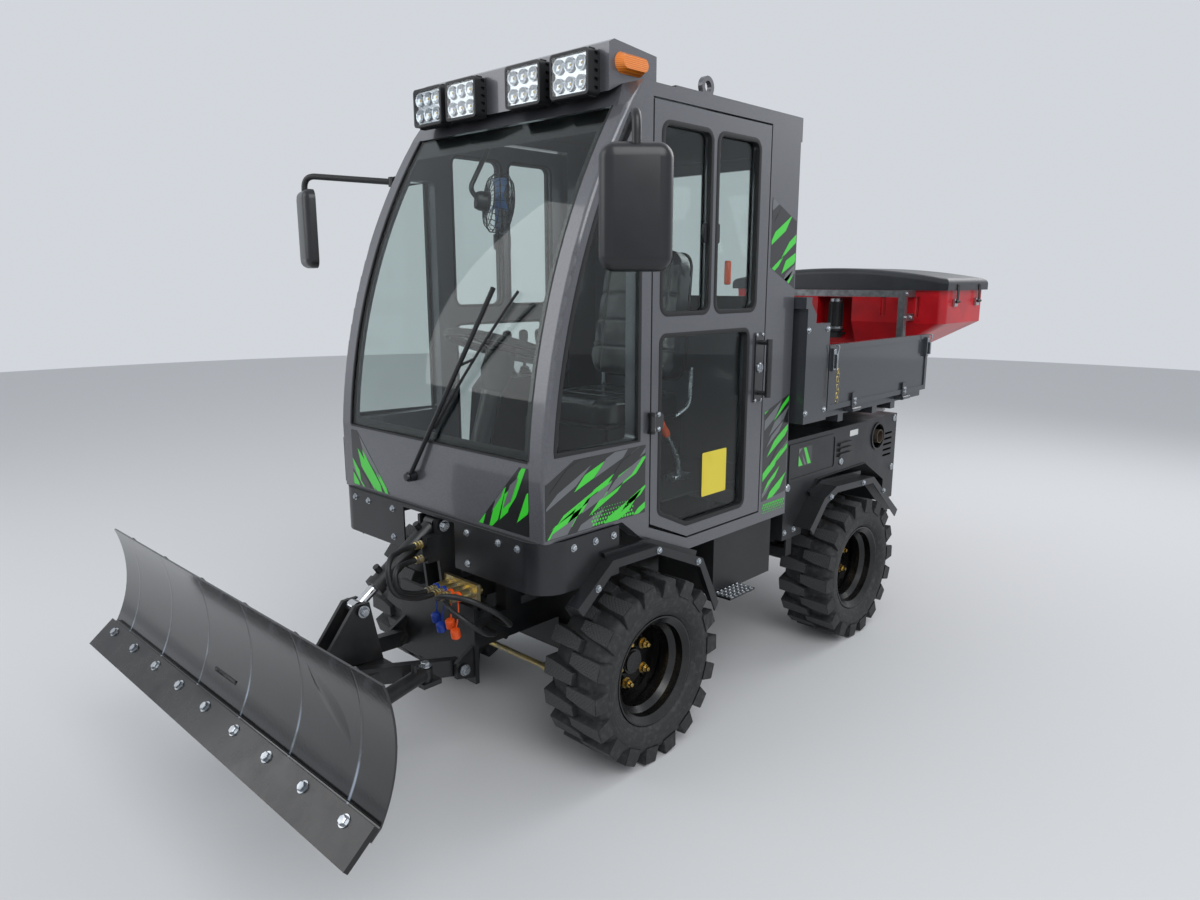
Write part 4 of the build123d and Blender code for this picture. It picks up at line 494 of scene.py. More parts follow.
def add_band(bm, line, y0, y1, low, high):
    """Closed strip along a line of (x, z) points, between y0 and y1, from low to high off it."""
    rows = []
    for n, (x, z) in enumerate(line):
        (ax, az), (bx, bz) = line[max(0, n - 1)], line[min(len(line) - 1, n + 1)]
        length = sqrt((bx - ax) ** 2 + (bz - az) ** 2)
        nx, nz = (bz - az) / length, -(bx - ax) / length
        rows.append([bm.verts.new((x + nx * off, y, z + nz * off)) for off, y in box_outline(low, y0, high, y1)])
    skin(bm, rows)
    bm.faces.new(rows[0][::-1])
    bm.faces.new(rows[-1])
    return bm


def rounded(outline, radius, steps=6):
    """Outline with its corners rounded."""
    points = []
    for n, corner in enumerate(outline):
        corner = Vector(corner)
        back = (Vector(outline[n - 1]) - corner).normalized()
        forth = (Vector(outline[(n + 1) % len(outline)]) - corner).normalized()
        half = back.angle(forth) / 2
        reach = radius / tan(half)
        middle = corner + (back + forth).normalized() * (radius / sin(half))
        first, last = corner + back * reach - middle, corner + forth * reach - middle
        sweep = first.angle_signed(last)
        for k in range(steps + 1):
            angle = atan2(first.y, first.x) - sweep * k / steps
            points.append((middle.x + radius * cos(angle), middle.y + radius * sin(angle)))
    return points


def shifted(outline, distance):
    """Outline moved outwards by distance."""
    area = sum(a[0] * b[1] - b[0] * a[1] for a, b in zip(outline, outline[1:] + outline[:1]))
    sign = 1 if area > 0 else -1
    moved = []
    for n, point in enumerate(outline):
        a, b = Vector(outline[n - 1]), Vector(outline[(n + 1) % len(outline)])
        way = (b - a).normalized()
        moved.append((point[0] + sign * way.y * distance, point[1] - sign * way.x * distance))
    return moved


def add_frame(bm, outline, inner, outer, low, high, matrix, crown=0.0):
    """Ring round an outline, between two distances from it and two heights over the plane; crown rounds its top."""
    lines = [(inner, low), (inner, high), ((inner + outer) / 2, high + crown), (outer, high), (outer, low)]
    skin(bm, [[bm.verts.new(matrix @ Vector((x, y, height))) for x, y in shifted(outline, distance)]
              for distance, height in lines], True)


def side_plane(y):
    """Plane with local X forward and local Y up; local Z points outwards on both sides."""
    return Matrix(((1, 0, 0, 0), (0, 0, 1 if y > 0 else -1, y), (0, 1, 0, 0), (0, 0, 0, 1)))


def on_side(x, y, z):
    """Place on a side of the machine for one of many like shapes, local Z outwards."""
    return placed((x, y, z), (0, 1 if y > 0 else -1, 0))


def on_both(y, *spots):
    """Places (x, z) on the left side, y from the middle, and the same on the right side."""
    return [on_side(x, side * y, z) for side in (1, -1) for x, z in spots]


# Windows: flat and single-curved toughened safety glass, clear with a slight green-grey tint. The windshield is
# bonded, so a black fired-on border hides the glue, and a moulding closes the joint at the pillars. The door
# panes and quarter lights sit in extruded rubber.
glass_finish = clouded("toughened_safety_glass", "#dde5e3", 0.01, 5.0, 3.0, polish=(0.4, 0.8, 0.0, 0.04),
                       Transmission_Weight=1.0, IOR=1.06, Coat_Weight=0.45, Coat_Roughness=0.01)
dress(glass_finish, "windshield", "fixed_windows", "door_left_glass", "door_right_glass")
frit = clouded("fired_on_black_enamel", "#0b0c0d", 0.3, 300.0, 1.0, ("#0a0b0c", "#101113"))
bm = bmesh.new()
for y0, y1 in ((0.416, 0.4445), (-0.4445, -0.416)):
    add_band(bm, glass_line, y0, y1, -0.0062, -0.0056)
for line in (glass_line[:2], glass_line[-4:]):
    add_band(bm, line, -0.416, 0.416, -0.0062, -0.0056)
piece_of("windshield_border", bm, frit)
seal_rubber = clouded("extruded_seal_rubber", "#121314", 0.6, 420.0, 2.0, ("#121314", "#202123"), relief=(0.3, 0.0004))
upper_rear_pane = rounded(box_outline(0.094, 1.363, 0.318, 1.892), 0.030)
upper_front_pane = rounded(box_outline(0.350, 1.363, 0.580, 1.892), 0.030)
lower_pane = rounded([(0.580, 1.300), (0.128, 1.300), (0.128, 0.705), (0.444, 0.705), (0.580, 0.768)], 0.024)
pillar_line = arc_through((1.050, 0.990), (0.9505, 1.4725), (0.727, 1.919), 60)
quarter_pane = [(0.672, 1.790), (0.672, 1.002)] + [(x - 0.037, z) for x, z in pillar_line if 1.004 < z < 1.788]
bm = bmesh.new()
for side in (1, -1):
    add_frame(bm, quarter_pane, -0.009, 0.004, -0.012, 0.0012, side_plane(side * cab_half_width), 0.0014)
for y0, y1 in ((0.4385, 0.4455), (-0.4455, -0.4385)):
    add_band(bm, glass_line, y0, y1, -0.001, 0.0042)
add_band(bm, [(1.0475, 0.984), (1.0475, 0.9905)], -0.4385, 0.4385, 0.0, 0.0035)
piece_of("window_seals", bm, seal_rubber, smooth=50)
for place, side in sides:
    bm = bmesh.new()
    plane = side_plane(side * cab_half_width)
    for pane in (upper_rear_pane, upper_front_pane, lower_pane):
        add_frame(bm, pane, -0.006, 0.0075, -0.014, 0.0012, plane, 0.0016)
        add_frame(bm, pane, -0.006, 0.004, -0.0352, -0.030, plane)
    piece_of(f"door_{place}_seals", bm, seal_rubber, f"door_{place}", 50)


# Sliding pane hardware of the doors: a finger pull on each upper pane, injection moulded in black plastic and stuck
# to the glass. The other black mouldings, such as bumper and fenders, have the same finish.
def moulded(name, color, other, roughness, grain_mm, strength=0.25):
    """Moulded plastic with a fine spark-eroded grain and slow colour drift."""
    return clouded(name, color, roughness, 7.0, 3.0, (color, other), (0.35, 0.7), relief=(strength, 0.0008),
                   grain=(1000 / grain_mm, 2.0))


black_plastic = moulded("moulded_black_polypropylene", "#16171a", "#1e2023", 0.32, 2.2, 0.07)
dress(black_plastic, "front_bumper", "fenders", "mirrors", "steering_column", "lever_console", "wiper")
dress(moulded("black_floor_mat", "#17181a", "#232426", 0.6, 9.0, 0.08), "cab_floor")
for place, side in sides:
    bm = bmesh.new()
    for x in (0.300, 0.366):
        pull = rounded(box_outline(x - 0.008, 1.570, x + 0.008, 1.630), 0.006, 3)
        add_prism(bm, pull, 0.009, side_plane(side * 0.4865), 0.0015, 2)
    piece_of(f"door_{place}_pane_pulls", bm, black_plastic, f"door_{place}")


# Door lock: a round zinc plated barrel with its key face beside the pull handle. Plated screws hold the handle and
# the leaves of the door's hinges.
panel_screw = hex_bolt("panel_screw", 0.010, 0.0045, 1.5)
lock_line = [(0, -0.001), (0.017, -0.001), (0.017, 0.004), (0.014, 0.0065), (0.0095, 0.0065), (0.009, 0.005),
             (0, 0.005)]
for place, side in sides:
    lock_place = side_plane(side * 0.509) @ Matrix.Translation((0.066, 1.170, 0))
    lock = add_turned(bmesh.new(), lock_line, lock_place, 28)
    piece_of(f"door_{place}_lock", lock, bright_zinc, f"door_{place}")
    screws = [on_side(0.066 + dx, side * 0.5065, 1.170 + dz) for dx in (-0.017, 0.017) for dz in (-0.110, 0.110)]
    screws += [on_side(0.590 + dx, side * 0.5065, z + dz) for z in (1.050, 1.760) for dx in (0, 0.022)
               for dz in (-0.022, 0.022)]
    repeated(f"door_{place}_screws", panel_screw, screws, bright_zinc, f"door_{place}")


# Livery: cut vinyl film on the flat of the panels, a plain angular camouflage of green, black and grey shards of
# this part's own layout, with rows of dots that fade out. Film is glossy and lies 0.3 mm proud.
def clipped(shape, area):
    """Part of a convex shape inside a convex area, both anticlockwise lists of points."""
    for n in range(len(area)):
        (ax, ay), (bx, by) = area[n], area[(n + 1) % len(area)]
        kept = []
        for k, here in enumerate(shape):
            there = shape[(k + 1) % len(shape)]
            d0 = (bx - ax) * (here[1] - ay) - (by - ay) * (here[0] - ax)
            d1 = (bx - ax) * (there[1] - ay) - (by - ay) * (there[0] - ax)
            if d0 >= 0:
                kept.append(here)
            if (d0 > 0 > d1) or (d0 < 0 < d1):
                t = d0 / (d0 - d1)
                kept.append((here[0] + (there[0] - here[0]) * t, here[1] + (there[1] - here[1]) * t))
        shape = kept
        if len(shape) < 3:
            return []
    return shape


def vinyl(name, color):
    """Calendered vinyl film: glossy with a slight ripple."""
    return clouded(name, color, 0.28, 90.0, relief=(0.06, 0.001), Coat_Weight=0.5, Coat_Roughness=0.08)


vinyls = {name: vinyl(name + "_vinyl_film", color)
          for name, color in (("black", "#101113"), ("green", "#35c72c"), ("grey", "#5e6164"))}
front_plane = Matrix(((0, 0, 1, cab_front_x), (1, 0, 0, 0), (0, 1, 0, 0), (0, 0, 0, 1)))
# area: plane, convex outline, slant of the shards, how many, seed
side_fields = (([(0.644, 0.784), (1.046, 0.784), (1.046, 0.935), (0.940, 0.988), (0.644, 0.988)], 2.62, 22, 4),
               ([(-0.146, 1.430), (0.012, 1.500), (0.012, 1.725), (-0.146, 1.655)], 2.45, 10, 11),
               ([(-0.146, 0.705), (0.012, 0.690), (0.012, 1.010), (-0.146, 1.060)], 2.45, 14, 23))
livery_areas = [(side_plane(side * cab_half_width), *field) for side in (1, -1) for field in side_fields]
front_field = [(0.225, 0.784), (0.442, 0.784), (0.442, 0.972), (0.405, 0.972)]
livery_areas += [(front_plane, front_field, 0.95, 11, 37),
                 (front_plane, [(-y, z) for y, z in reversed(front_field)], 2.19, 11, 31)]
layers = {color: bmesh.new() for color in vinyls}
for plane, outline, slant, count, seed in livery_areas:
    dice = random.Random(seed)
    add_prism(layers["black"], outline, 0.0003, plane)
    low_x, high_x = min(p[0] for p in outline), max(p[0] for p in outline)
    low_z, high_z = min(p[1] for p in outline), max(p[1] for p in outline)
    for n in range(count):
        color = ("green", "grey", "green", "black", "green", "grey")[n % 6]
        x = low_x + (high_x - low_x) * (n + 0.2 + 0.6 * dice.random()) / count
        z = low_z + (high_z - low_z) * dice.random()
        length = 0.060 + 0.060 * dice.random()
        width = 0.009 + 0.013 * dice.random()
        way = Vector((cos(slant + 0.16 * dice.random()), sin(slant))).normalized()
        across = Vector((-way.y, way.x))
        middle = Vector((x, z))
        offsets = (-way * length, -way * length * 0.30 - across * width,
                   way * length, way * length * 0.30 + across * width)
        shard = clipped([tuple(middle + offset) for offset in offsets], shifted(outline, -0.002))
        if shard:
            layer = plane @ Matrix.Translation((0, 0, 0.0003 + 0.00015 * (1 + n % 4)))
            add_prism(layers[color], shard, 0.00015, layer)
for color, bm in layers.items():
    piece_of(f"livery_{color}", bm, vinyls[color])
dot_pattern = mesh_of("livery_dot", add_prism(bmesh.new(), circle_of(0.0042, 8), 0.0006))
dots = []
for side in (1, -1):
    for x0, z0, columns, rows in ((0.70, 0.792, 16, 5), (-0.135, 0.676, 13, 4)):
        for row in range(rows):
            for column in range(columns):
                x = x0 + 0.011 * (column + 0.5 * (row % 2))
                z = z0 + (0.0105 * row if x0 > 0 else -0.0095 * row)
                dots.append(on_side(x, side * (cab_half_width + 0.0006), z) @ Matrix.Scale(1.0 - 0.16 * row, 4))
repeated("livery_dots", dot_pattern, dots, vinyls["green"])


# Tubes and bars: bent steel pipe and cable share one sweep along rounded corners. The pieces that follow are
# made of it, such as the grab rails, the mirror arms and the wiper.
def bent(points, radius, steps=6):
    """Line of 3-D points with its corners rounded."""
    points = [Vector(p) for p in points]
    line = [points[0]]
    for before, corner, after in zip(points, points[1:], points[2:]):
        back, forth = before - corner, after - corner
        reach = min(radius, 0.45 * back.length, 0.45 * forth.length)
        first, last = corner + back.normalized() * reach, corner + forth.normalized() * reach
        for n in range(steps + 1):
            t = n / steps
            line.append(first * (1 - t) ** 2 + corner * 2 * t * (1 - t) + last * t * t)
    return line + [points[-1]]


def add_tube(bm, line, radius, steps=12):
    """Closed round bar along a line of points."""
    line = [Vector(point) for point in line]
    ways = [(b - a).normalized() for a, b in zip(line, line[1:])]
    ways = [ways[0]] + [(a + b).normalized() for a, b in zip(ways, ways[1:])] + [ways[-1]]
    side_way = ways[0].orthogonal().normalized()
    rings = []
    for point, way in zip(line, ways):
        side_way = (side_way - way * side_way.dot(way)).normalized()
        up = way.cross(side_way)
        rings.append([bm.verts.new(point + side_way * x + up * y) for x, y in circle_of(radius, steps)])
    skin(bm, rings)
    bm.faces.new(rings[0][::-1])
    bm.faces.new(rings[-1])
    return bm


# Roof lamps: four LED work lamps with die-cast finned housings. Each holds six bright reflector cups with an LED
# in each, behind a clear moulded lens. The side markers are amber lenses with moulded ribs.
cast_housing = powder_coat("die_cast_lamp_housing", "#17181a", "#2b2c2e", 0.5)
dress(cast_housing, "work_lamps")
bright_reflector = clouded("vacuum_metallised_reflector", "#c4c8cc", 0.12, 160.0, polish=(0, 1, 0.06, 0.2),
                           metallic=1.0)
led_yellow = clouded("led_phosphor", "#cfae3e", 0.4, 900.0, tones=("#c8a436", "#d9bd5a"))
lens_clear = clouded("clear_moulded_lens", "#eef1f2", 0.02, 30.0, relief=(0.05, 0.001),
                     Transmission_Weight=1.0, IOR=1.1, Coat_Weight=0.6)
lamp_z = 2.012
lamp_ys = (-0.340, -0.166, 0.124, 0.316)
plates, lenses = bmesh.new(), bmesh.new()
for y in lamp_ys:
    add_slab(plates, (0.7575, y - 0.0665, lamp_z - 0.0505), (0.7592, y + 0.0665, lamp_z + 0.0505), 0.0004)
    add_slab(lenses, (0.7655, y - 0.0668, lamp_z - 0.0508), (0.7668, y + 0.0668, lamp_z + 0.0508), 0.0004)
piece_of("lamp_reflector_plates", plates, bright_reflector)
piece_of("lamp_lenses", lenses, lens_clear)
cup_line = [(0, 0.0003), (0.004, 0.0004), (0.010, 0.0020), (0.0155, 0.0040), (0.0188, 0.0062), (0.0202, 0.0062),
            (0.0208, -0.0004), (0, -0.0004)]
cup_pattern = mesh_of("reflector_cup", add_turned(bmesh.new(), cup_line, steps=20), 40)
led_pattern = mesh_of("led_chip", add_slab(bmesh.new(), (-0.0034, -0.0034, 0), (0.0034, 0.0034, 0.0012), 0.0004))
cells = [(y + dy, lamp_z + dz) for y in lamp_ys for dy in (-0.0435, 0, 0.0435) for dz in (-0.0245, 0.0245)]
repeated("lamp_reflector_cups", cup_pattern, [placed((0.7592, y, z), (1, 0, 0)) for y, z in cells], bright_reflector)
repeated("lamp_leds", led_pattern, [placed((0.7594, y, z), (1, 0, 0)) for y, z in cells], led_yellow)
fin_pattern = mesh_of("cooling_fin", add_slab(bmesh.new(), (-0.012, -0.0012, 0), (0.012, 0.0012, 0.0045), 0.0005))
fins = [placed((0.740, y + dy, lamp_z + out * 0.0585), (0, 0, out)) for y in lamp_ys for out in (1, -1)
        for dy in [0.0105 * n - 0.063 for n in range(13)]]
repeated("lamp_fins", fin_pattern, fins, cast_housing)
amber, tree, shader, point = finish_of("amber_marker_lens", "#e2760f", 0.16, Coat_Weight=0.8, Coat_Roughness=0.04)
height = add_node(tree, "SeparateXYZ", [("Vector", point)]).outputs["Z"]
rib = add_node(tree, "Math", [(0, height)], operation="PINGPONG", inputs={1: 0.0025})
tone = add_node(tree, "MapRange", [("Value", rib)], inputs={"From Max": 0.0025})
# Painted shade and light: the ribs' colour is darker in their grooves and paler on their crests, following the rib
# height.
ribs_with_painted_shade = add_node(tree, "Mix", [("Factor", tone)], **tones_of("#d8690a", "#f08c1e"))
bump = add_node(tree, "Bump", [("Height", tone)], inputs={"Strength": 0.7, "Distance": 0.001})
connect(shader, [("Base Color", ribs_with_painted_shade), ("Normal", bump)])
dress(amber, "marker_lamps")


# Mirrors: bent steel tube arms with a clamp on the pillar, and moulded heads held at their back by a ball joint.
# The glass lies in the head's rim and faces rearwards on both sides.
mirror_glass = clouded("silvered_mirror_glass", "#cdd2d5", 0.02, 20.0, polish=(0, 1, 0.01, 0.05), metallic=1.0)
head_outline = rounded(box_outline(-0.080, -0.135, 0.080, 0.135), 0.034, 8)
heads, arms, glasses = bmesh.new(), bmesh.new(), bmesh.new()
for out, x, y, z, yaw in ((1, 1.081, 0.838, 1.615, 45), (-1, 0.959, 0.817978, 1.635, -18)):
    way = Vector((cos(radians(yaw)), sin(radians(yaw)), 0))
    across = Vector((-way.y, way.x, 0))
    frame_of = Matrix(((across.x, 0, way.x, x), (across.y, 0, way.y, out * y), (0, 1, 0, z), (0, 0, 0, 1)))
    rows = [(0.0075, -0.0170), (0.0035, -0.0215), (0.0, -0.0195), (0.0, -0.002), (0.0030, 0.006), (0.0075, 0.0130),
            (0.0150, 0.0185), (0.0300, 0.0215)]
    rings = [[heads.verts.new(frame_of @ Vector((px, py, depth))) for px, py in shifted(head_outline, -inset)]
             for inset, depth in rows]
    skin(heads, rings)
    heads.faces.new(rings[0])
    heads.faces.new(rings[-1])
    add_prism(glasses, shifted(head_outline, -0.0085), 0.002, frame_of @ Matrix.Translation((0, 0, -0.0185)))
    clamp = Vector((front_axle_x + 0.148, out * 0.520, 1.788))
    top = Vector((x, out * y, 1.818))
    joint = Vector((x, out * y, z + 0.066))
    add_tube(arms, bent([clamp, top, joint + Vector((0, 0, 0.004))], 0.046, 8), 0.0105, 14)
    add_turned(arms, [(0, 0), (0.018, 0), (0.018, 0.004), (0.0125, 0.008), (0.0125, 0.034), (0, 0.034)],
               placed((clamp.x, out * 0.5024, clamp.z), (0, out, 0)), 20)
    add_turned(arms, [(0, -0.016), (0.0155, -0.016), (0.017, -0.014), (0.017, 0.014), (0.0155, 0.016), (0, 0.016)],
               placed(clamp), 20)
    add_turned(arms, [(0, -0.020), (0.011, -0.018), (0.0165, -0.010), (0.0175, 0), (0.0165, 0.010), (0.0125, 0.020),
                      (0, 0.021)], placed(joint), 20)
head_piece = piece_of("mirror_heads", heads, black_plastic, smooth=30)
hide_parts("mirrors")
piece_of("mirror_arms", arms, black_coat, smooth=30)
piece_of("mirror_glasses", glasses, mirror_glass)


# Wiper: pressed steel arm with a second parallel link, which is part of the solids. A moulded cap covers its spindle
# nut, and the rubber blade that it carries lies on the glass.
spindle_cap = add_turned(bmesh.new(), [(0, 0), (0.012, 0), (0.0135, 0.004), (0.0115, 0.010), (0, 0.011)],
                         placed((1.0735, -0.082, 0.870), (1, 0, 0)), 18)
piece_of("wiper_spindle_cap", spindle_cap, black_plastic)
bm = bmesh.new()
edge = [Vector((glass_x(z) + 0.0065, 0.030 + (z - 1.03) * 0.72, z)) for z in [1.03 + 0.0236 * n for n in range(18)]]
add_tube(bm, edge, 0.0042, 8)
wiper_line = [Vector((1.070, -0.082, 0.870)), Vector((1.037, 0.300, 1.440))]
add_tube(bm, [edge[9] + Vector((0.003, 0, 0)), wiper_line[0].lerp(wiper_line[1], 0.62)], 0.0040, 8)
piece_of("wiper_blade", bm, seal_rubber)


# Front bumper, fenders and skirts: bolted black panels. Flange bolts hold the bumper's face and corners and the
# arches' flanges, and a rubber strip lies along the bumper's top. The steps have raised zinc plated grip teeth.
panel_bolt = hex_bolt("panel_bolt", 0.013, 0.0075, 1.7)
bolts = [placed((1.066, side * y, z), (1, 0, 0)) for side in (1, -1)
         for y, z in ((0.190, 0.748), (0.330, 0.748), (0.410, 0.748), (0.190, 0.655))]
bolts += on_both(0.514, (0.955, 0.748), (0.870, 0.748), (0.795, 0.748))
bolts += on_both(0.5565, (front_axle_x + 0.262, 0.628), (front_axle_x, 0.676), (front_axle_x - 0.195, 0.593),
                 (rear_axle_x + 0.262, 0.642), (rear_axle_x, 0.652), (rear_axle_x - 0.190, 0.585))
repeated("panel_bolts", panel_bolt, bolts, bright_zinc)
strip_line = [(1.0460, -0.470), (1.0535, -0.470), (1.0600, -0.452), (1.0630, -0.430)]
strip_line += [(x, -y) for x, y in reversed(strip_line)]
top_strip = add_prism(bmesh.new(), strip_line, 0.0061, Matrix.Translation((0, 0, 0.7675)), 0.0008)
piece_of("bumper_top_strip", top_strip, seal_rubber)
tooth_line = [(0, -0.0003), (0.0085, -0.0003), (0.0080, 0.0024), (0.0058, 0.0030), (0.0048, 0.0016), (0, 0.0016)]
tooth_pattern = mesh_of("step_tooth", add_turned(bmesh.new(), tooth_line, steps=14))
teeth = [placed((front_axle_x - 0.505 + 0.023 * n, side * (0.498 + 0.018 * row), 0.418))
         for side in (1, -1) for n in range(6) for row in range(4)]
repeated("step_teeth", tooth_pattern, teeth, bright_zinc)


# Hydraulic couplers and hoses: zinc plated couplings with coloured dust caps on straps, and two-wire rubber hose
# with crimped ferrules. The hose route is the one of the solids, from the couplers to the tower.
dress(yellow_zinc, "quick_couplers")
hose_rubber = clouded("wrapped_hose_rubber", "#141516", 0.48, 380.0, 2.0, ("#101112", "#1f2021"), relief=(0.4, 0.0006))
dress(hose_rubber, "tower_hoses")
ferrule_line = [(0.0078, -0.0005), (0.0115, -0.0005), (0.0122, 0.001), (0.0122, 0.004), (0.0108, 0.005),
                (0.0108, 0.009), (0.0119, 0.010), (0.0119, 0.013), (0.0108, 0.014), (0.0108, 0.018), (0.0115, 0.019),
                (0.0115, 0.023), (0.0090, 0.0245), (0.0078, 0.0245)]
ferrule = mesh_of("hose_ferrule", add_turned(bmesh.new(), ferrule_line, steps=18, loop=True), 40)
ferrules = [placed((1.1125, y, 0.560), (1, 0, 0)) for y in (0.078, 0.113, 0.148, 0.183)]
ferrules += [placed((1.1258, 0.049, z), (1, 0, 0)) for z in (0.652, 0.696)]
repeated("hose_ferrules", ferrule, ferrules, yellow_zinc)
cap_line = [(0, 0.026), (0.009, 0.026), (0.0135, 0.024), (0.0145, 0.020), (0.0145, 0), (0.012, 0), (0.012, 0.018),
            (0, 0.018)]
orange_plastic = moulded("orange_dust_cap", "#e8571c", "#d94c14", 0.35, 1.5, 0.1)
blue_plastic = moulded("blue_dust_cap", "#1c3f9e", "#183790", 0.35, 1.5, 0.1)
for name, plastic, ys in (("orange", orange_plastic, (0.148, 0.183)), ("blue", blue_plastic, (0.078, 0.113))):
    bm = bmesh.new()
    for n, y in enumerate(ys):
        add_turned(bm, box_outline(0.0118, 0, 0.0158, 0.007), placed((1.0965, y, 0.560), (1, 0, 0)), 20, loop=True)
        low = Vector((1.108 + 0.008 * n, y + 0.007, 0.462 - 0.018 * n))
        strap = bent([(1.100, y, 0.546), (1.104, y + 0.006, 0.515), (low.x, low.y, low.z + 0.022)], 0.02)
        add_tube(bm, strap, 0.0022, 6)
        add_turned(bm, cap_line, placed(low, (0.25, 0.1, 1)), 18)
    piece_of(f"{name}_dust_caps", bm, plastic)


# Lift and swing linkage: pins locked with zinc plated bolts and washers at the bearings of the frame, the blade and
# both cylinders. The rods are hard chromed steel.
chrome_finish = clouded("hard_chromed_rod", "#c9cbcd", 0.12, 40.0, 3.0, polish=(0, 1, 0.07, 0.22), metallic=1.0)
dress(chrome_finish, "lift_cylinder_rod", "swing_cylinder_rod")
pin_bolt = hex_bolt("pin_bolt", 0.022, 0.012, 1.6)
pin_ends = {"chassis": [((x, side * y, z), (0, side, 0)) for x, y, z in ((1.045, 0.052, 0.736), (1.089, 0.190, 0.330))
                        for side in (1, -1)],
            "lift_frame": [((1.325, 0.044, 0.542), (0, 1, 0)), ((1.325, -0.044, 0.542), (0, -1, 0)),
                           ((1.241, 0.210, 0.404), (0, 0, 1))],
            "blade": [((1.593, 0, 0.480), (0, 0, 1)), ((1.593, 0, 0.340), (0, 0, -1))],
            "swing_cylinder_rod": [((1.651, 0.330, 0.399), (0, 0, 1))]}
for body, ends in pin_ends.items():
    repeated(f"{body}_pin_bolts", pin_bolt, [placed(*end) for end in ends], bright_zinc, body)


# Blade: rolled steel moldboard in gloss black paint. The ribs' welds show through as a narrow swell with a painted
# reflection in pale blue-grey along it, low on the blade. Nine plated bolts hold the cutting edge along its flange.
blade_paint = powder_coat("gloss_black_blade_paint", "#0c0c0d", "#2b2a28", 0.2, peel_mm=9, dust_top=0.5, strength=0.1)
dress(blade_paint, "cutting_edge")
rib_step, edge_bolt_step = 0.126, 0.1675
moldboard_with_painted_reflections, tree, shader, point = finish_of("gloss_black_moldboard_paint", "#0c0c0d", 0.17, Coat_Weight=0.5,
                                        Coat_Roughness=0.1)
axes = add_node(tree, "SeparateXYZ", [("Vector", point)]).outputs
along = add_node(tree, "Math", [(0, axes["Y"])], operation="ABSOLUTE")
fold = add_node(tree, "Math", [(0, along)], operation="PINGPONG", inputs={1: rib_step})
line = add_node(tree, "MapRange", [("Value", fold)], **smooth_step(0.1195, 0.1255))
cloud = add_node(tree, "TexNoise", [("Vector", point)], inputs={"Scale": 9.0, "Detail": 4.0})
low = add_node(tree, "MapRange", [("Value", axes["Z"])], **smooth_step(0.560, 0.455))
# Painted reflection: pale blue-grey along the ribs' weld lines, low on the blade and in cloudy patches.
rib_reflection_lines = add_node(tree, "Math", [(0, line), (1, low)], operation="MULTIPLY")
patches = add_node(tree, "MapRange", [("Value", cloud)], **smooth_step(0.35, 0.6))
painted_reflection_spots = add_node(tree, "Math", [(0, rib_reflection_lines), (1, patches)], operation="MULTIPLY")
haze = add_node(tree, "MapRange", [("Value", cloud)], **smooth_step(0.4, 0.75))
base = add_node(tree, "Mix", [("Factor", haze)], **tones_of("#0b0b0c", "#151619"))
whole = add_node(tree, "Mix", [("Factor", painted_reflection_spots), ("A", base)], **tones_of("#8d98a6"))
peel = add_node(tree, "TexNoise", [("Vector", point)], inputs={"Scale": 110.0, "Detail": 1.0})
swell = add_node(tree, "Math", [(0, peel), (2, line)], operation="MULTIPLY_ADD", inputs={1: 0.5})
bump = add_node(tree, "Bump", [("Height", swell)], inputs={"Strength": 0.22, "Distance": 0.002})
connect(shader, [("Base Color", whole), ("Normal", bump)])
dress(moldboard_with_painted_reflections, "blade")
edge_bolt = hex_bolt("edge_bolt", 0.019, 0.010, 1.5)
edge_dip = radians(40.4)
edge_way = Vector((cos(edge_dip), 0, -sin(edge_dip)))
edge_normal = Vector((sin(edge_dip), 0, cos(edge_dip)))
bolt_line = Vector((1.7299, -0.670, 0.4104)) + edge_way * 0.026 + edge_normal * 0.0139
edge_places = [placed(bolt_line + Vector((0, edge_bolt_step * n, 0)), edge_normal, 0.35 * n) for n in range(9)]
repeated("cutting_edge_bolts", edge_bolt, edge_places, bright_zinc, "blade")
bm = bmesh.new()
add_tube(bm, [(1.7248, -0.7485, 0.4135), (1.7248, 0.7485, 0.4135)], 0.0022, 6)
weld_line = [(1.6865, 0.690), (1.6790, 0.640), (1.6775, 0.590), (1.6785, 0.560), (1.6830, 0.510), (1.6950, 0.455)]
for y in [rib_step * n for n in (-5, -3, -1, 1, 3, 5)]:
    for weld_y in (y + 0.0045, y - 0.0045):
        add_tube(bm, [(x, weld_y, z) for x, z in weld_line], 0.0028, 5)
piece_of("blade_welds", bm, blade_paint, "blade")


# Seat: moulded foam pads covered in black vinyl on a boxed steel stand. Each pad is its own inflated shape with
# sewn channels. The clear film that is still drawn over it as delivered is a gloss coat on the vinyl, and the
# paler patches on the crests of its folds are painted sheen of the film.
seat_vinyl, tree, shader, point = finish_of("black_seat_vinyl", "#18191c", 0.42, Coat_Weight=0.9, Coat_Roughness=0.12)
pebble = add_node(tree, "TexVoronoi", [("Vector", point)], inputs={"Scale": 520.0})
crease = add_node(tree, "TexNoise", [("Vector", point)], inputs={"Scale": 14.0, "Detail": 4.0, "Distortion": 1.6})
# Painted sheen: the vinyl is paler where the film's folds are high, on the same crease noise as the coat's folds.
lug_knurl_and_fold_sheen = add_node(tree, "MapRange", [("Value", crease)], **smooth_step(0.4, 0.7))
vinyl_with_painted_sheen = add_node(tree, "Mix", [("Factor", lug_knurl_and_fold_sheen)], **tones_of("#15161a", "#26282c"))
bump = add_node(tree, "Bump", [("Height", pebble)], inputs={"Strength": 0.1, "Distance": 0.0006})
fold = add_node(tree, "Bump", [("Height", crease), ("Normal", bump)], inputs={"Strength": 0.5, "Distance": 0.004})
connect(shader, [("Base Color", vinyl_with_painted_sheen), ("Normal", bump), ("Coat Normal", fold)])
side_channel, channel_reach, channel_depth = 0.145, 0.009, 0.0065


